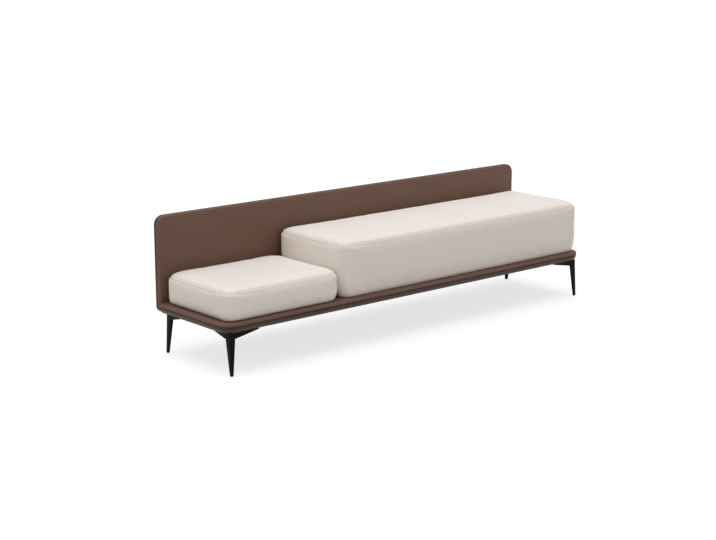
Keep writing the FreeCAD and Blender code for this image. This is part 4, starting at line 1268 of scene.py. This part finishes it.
@dataclass
class BackPanel:
    """The upholstered back panel: front leather, rear leather and the welt between them."""

    lower_radius: float = 0.022
    upper_radius: float = 0.035
    edge_round: float = 0.01
    # Pairs of inset and distance from the flat face
    turn: Pairs = ((0.0002, 0.0118), (0.001, 0.0128), (0.003, 0.013), (0.006, 0.0127))
    ease_height: float = 0.0016
    ease_from: float = 0.2
    ease_reach: float = 0.06
    waves_per_metre: tuple[float, float] = (4.0, 6.0)
    wave_layer: float = 3.7
    welt_inset: float = 0.0027
    welt_radius: float = 0.0025
    welt_sides: int = 10
    edges: Sequence[float] = (0.0, 0.004, 0.009, 0.015, 0.022, 0.031, 0.04, 0.052)
    step: float = 0.018

    def __post_init__(self) -> None:
        """Take the sizes from the covers' boxes and lay out the grid."""
        low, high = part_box("back_front_cover")
        self.front = low.y
        self.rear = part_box("back_rear_cover")[1].y
        plan = Plan(low.x, high.x, low.z, high.z, self.lower_radius, self.upper_radius)
        self.grid = Grid(plan, self.edges, self.step)

    def ease(self, x: float, z: float, depth: float) -> float:
        """Give how far the front leather stands out of its plane over the pad.

        Args:
            x: Place along the panel.
            z: Height.
            depth: Distance from the flat face's rim.

        Returns:
            The distance from the plane.
        """
        high = clamp((z - self.ease_from) / self.ease_reach)
        inside = clamp(depth / self.ease_reach)
        per_x, per_z = self.waves_per_metre
        wave = 0.5 + 0.5 * noise.noise(Vector((x * per_x, z * per_z, self.wave_layer)))
        return self.ease_height * high * inside * (2 - inside) * (0.5 + wave)

    def build_side(self, name: str, face: float, way: float, nodes: Sequence[str], finish: Finish) -> None:
        """Make the leather of one side, turned in at the seam.

        Args:
            name: Name of the piece.
            face: Y of the flat face.
            way: Direction from the face to the seam.
            nodes: Nodes it stands for.
            finish: Its leather.
        """
        draft = Draft()
        eased = max(way, 0.0)
        rows = self.grid.rows(draft, self.edge_round, self.edge_round,
                              lambda x, z, depth: (x, face - eased * self.ease(x, z, depth), z))
        draft.patch(rows, flip=way < 0)
        rings = []
        for inset, reach in (*rounded(self.edge_round), *self.turn):
            rings.append(draft.row((x, face + way * reach, z) for x, z in self.grid.ring(inset, inset)))
        draft.skirt(rim(rows), rings, flip=way < 0)
        side = settle(draft.piece(name, finish), Body.ROOT, nodes)

    def build(self) -> None:
        """Make both sides and the welt."""
        nodes = ["back_front_cover", "back_pad", "back_edge_pad"]
        self.build_side("panel_front_leather", self.front, 1.0, nodes, BROWN)
        # The rear leather's dark tone partly paints the shade on the panel's rear edge.
        self.build_side("panel_rear_leather", self.rear, -1.0, ["back_rear_cover", "back_felt"], REAR_BROWN_AND_SHADE)
        middle = (self.front + self.rear) / 2
        line = [Vector((x, middle, z)) for x, z in self.grid.ring(self.welt_inset, self.welt_inset)]
        draft = Draft()
        draft.tube(line, [self.welt_radius] * len(line), self.welt_sides, closed=True)
        settle(draft.piece("panel_welt_cord", WELT), Body.ROOT, ["back_welt"])


# Legs and hidden frame

@dataclass
class Leg:
    """One angle-section corner leg with softened edges."""

    corner: str
    edge_softness: float = 0.0011
    edge_segments: int = 3
    edge_angle: float = 25.0
    digits: int = 6

    def build(self) -> None:
        """Copy the leg's form and soften its edges."""
        node = f"leg_{self.corner}"
        source = frame["nodes"][node].data
        draft = Draft()
        seen: dict[tuple[float, ...], int] = {}
        numbers = []
        for vertex in source.vertices:
            key = tuple(round(c, self.digits) for c in vertex.co)
            if key not in seen:
                seen[key] = draft.row([vertex.co])[0]
            numbers.append(seen[key])
        for polygon in source.polygons:
            corners = tuple(dict.fromkeys(numbers[i] for i in polygon.vertices))
            if len(corners) > 2:
                draft.faces.append(corners)
        leg = draft.piece(f"{node}_coated", BLACK_COAT)
        soft = leg.modifiers.new("soft edges", "BEVEL")
        soft.width = self.edge_softness
        soft.segments = self.edge_segments
        soft.limit_method = "ANGLE"
        soft.angle_limit = math.radians(self.edge_angle)
        soft.harden_normals = True
        settle(leg, Body.ROOT, [node])


@dataclass(frozen=True)
class HardParts:
    """Parts of the frame that show as they are, each with its finish."""

    finishes: tuple[tuple[Slot, Finish], ...] = (
        (Slot.GLIDES, NYLON),
        (Slot.STEEL, STEEL_COAT),
        (Slot.CAST, CAST),
        (Slot.FASTENERS, ZINC),
        (Slot.PLYWOOD, PLYWOOD),
    )

    def dress(self) -> None:
        """Give every such node its finish."""
        finish_of = {slot.value: finish for slot, finish in self.finishes}
        for part in frame["record"]["subparts"]:
            node = frame["nodes"][part["node"]]
            finish = finish_of.get(part["material_slot"])
            if finish and not node.hide_render:
                node.data.materials.clear()
                node.data.materials.append(PALETTE.of(finish))
                log.info("dressed %s", part["node"])


# Studio

@dataclass
class Studio:
    """Camera, pale floor and soft light."""

    eye: tuple[float, float, float] = (-3.7746, -4.2212, 1.5160)
    forward: tuple[float, float, float] = (0.63675, 0.73733, -0.22578)
    lens: float = 76.29
    sensor_width: float = 36.0
    clip_end: float = 200.0
    floor_half: float = 60.0
    floor_lit: Colour = (0.5, 0.49, 0.48)
    floor_seen: Colour = (0.36, 0.36, 0.36)
    floor_glow: Colour = (0.70, 0.70, 0.70)
    floor_roughness: float = 0.9
    sky: float = 0.42
    lights: tuple[tuple[str, tuple[float, float, float], float, Colour], ...] = (
        ("overhead", (-0.08, 0.05, 1.0), 1.86, (0.97, 0.98, 1.0)),
        ("front", (0.35, -1.0, 0.45), 0.345, (1.0, 0.93, 0.85)),
        ("left", (-1.0, -0.2, 0.4), 0.37, (1.0, 0.85, 0.70)),
        ("rear", (0.3, 1.0, 0.35), 0.4, (1.0, 0.96, 0.92)),
    )
    spread: float = 60.0

    def build(self) -> None:
        """Set up the camera, the floor, the lights and the sky."""
        scene = bpy.context.scene
        scene.view_settings.view_transform = "Standard"
        camera = bpy.data.cameras.new("camera")
        camera.lens = self.lens
        camera.sensor_width = self.sensor_width
        camera.clip_end = self.clip_end
        eye = bpy.data.objects.new("camera", camera)
        eye.location = self.eye
        eye.rotation_euler = Vector(self.forward).to_track_quat("-Z", "Y").to_euler()
        scene.collection.objects.link(eye)
        scene.camera = eye
        self.build_floor()
        for name, way, strength, colour in self.lights:
            lamp = bpy.data.lights.new(name, "SUN")
            lamp.energy = strength
            lamp.color = colour
            lamp.angle = math.radians(self.spread)
            holder = bpy.data.objects.new(name, lamp)
            holder.rotation_euler = Vector(way).to_track_quat("Z", "Y").to_euler()
            scene.collection.objects.link(holder)
        world = bpy.data.worlds.new("studio")
        world.use_nodes = True
        sky = world.node_tree.nodes["Background"]
        sky.inputs["Color"].default_value = (1.0, 1.0, 1.0, 1.0)
        sky.inputs["Strength"].default_value = self.sky
        scene.world = world

    def build_floor(self) -> None:
        """Make the floor, which lights the object less than it shows."""
        graph = Graph("pale floor")
        seen = graph.add("ShaderNodeLightPath", {}, {}, "Is Camera Ray")
        for ray in ("Is Glossy Ray", "Is Transmission Ray"):
            seen = seen + graph.add("ShaderNodeLightPath", {}, {}, ray)
        material = graph.surface({
            "Base Color": graph.blend(seen, rgba(self.floor_lit), rgba(self.floor_seen)),
            "Roughness": self.floor_roughness,
            "Specular IOR Level": 0.0,
            "Emission Color": graph.blend(seen, rgba(self.floor_glow, 0.0), rgba(self.floor_glow)),
            "Emission Strength": 1.0,
        })
        half = self.floor_half
        corners = [(-half, -half, 0), (half, -half, 0), (half, half, 0), (-half, half, 0)]
        mesh = bpy.data.meshes.new("floor")
        mesh.from_pydata(corners, [], [(0, 1, 2, 3)])
        mesh.materials.append(material)
        floor = bpy.data.objects.new("floor", mesh)
        bpy.context.scene.collection.objects.link(floor)


def main() -> None:
    """Build the pieces in order, then the studio."""
    logging.basicConfig(level=logging.INFO, format="%(message)s")
    base = Base()
    base.build()
    DustCloth(base).build()
    BackPanel().build()
    for corner in ("front_left", "front_right", "rear_left", "rear_right"):
        Leg(corner).build()
    Cushion("small", Body.SMALL, Body.SMALL_ZIP, left_in=0.00216, right_in=0.00116, rear_radius=0.048,
            corner_seams=False).build()
    Cushion("long", Body.LONG, Body.LONG_ZIP, left_in=0.00113, right_in=0.00313, rear_radius=0.032,
            corner_seams=True).build()
    HardParts().dress()
    Studio().build()


if __name__ == "__main__":
    main()
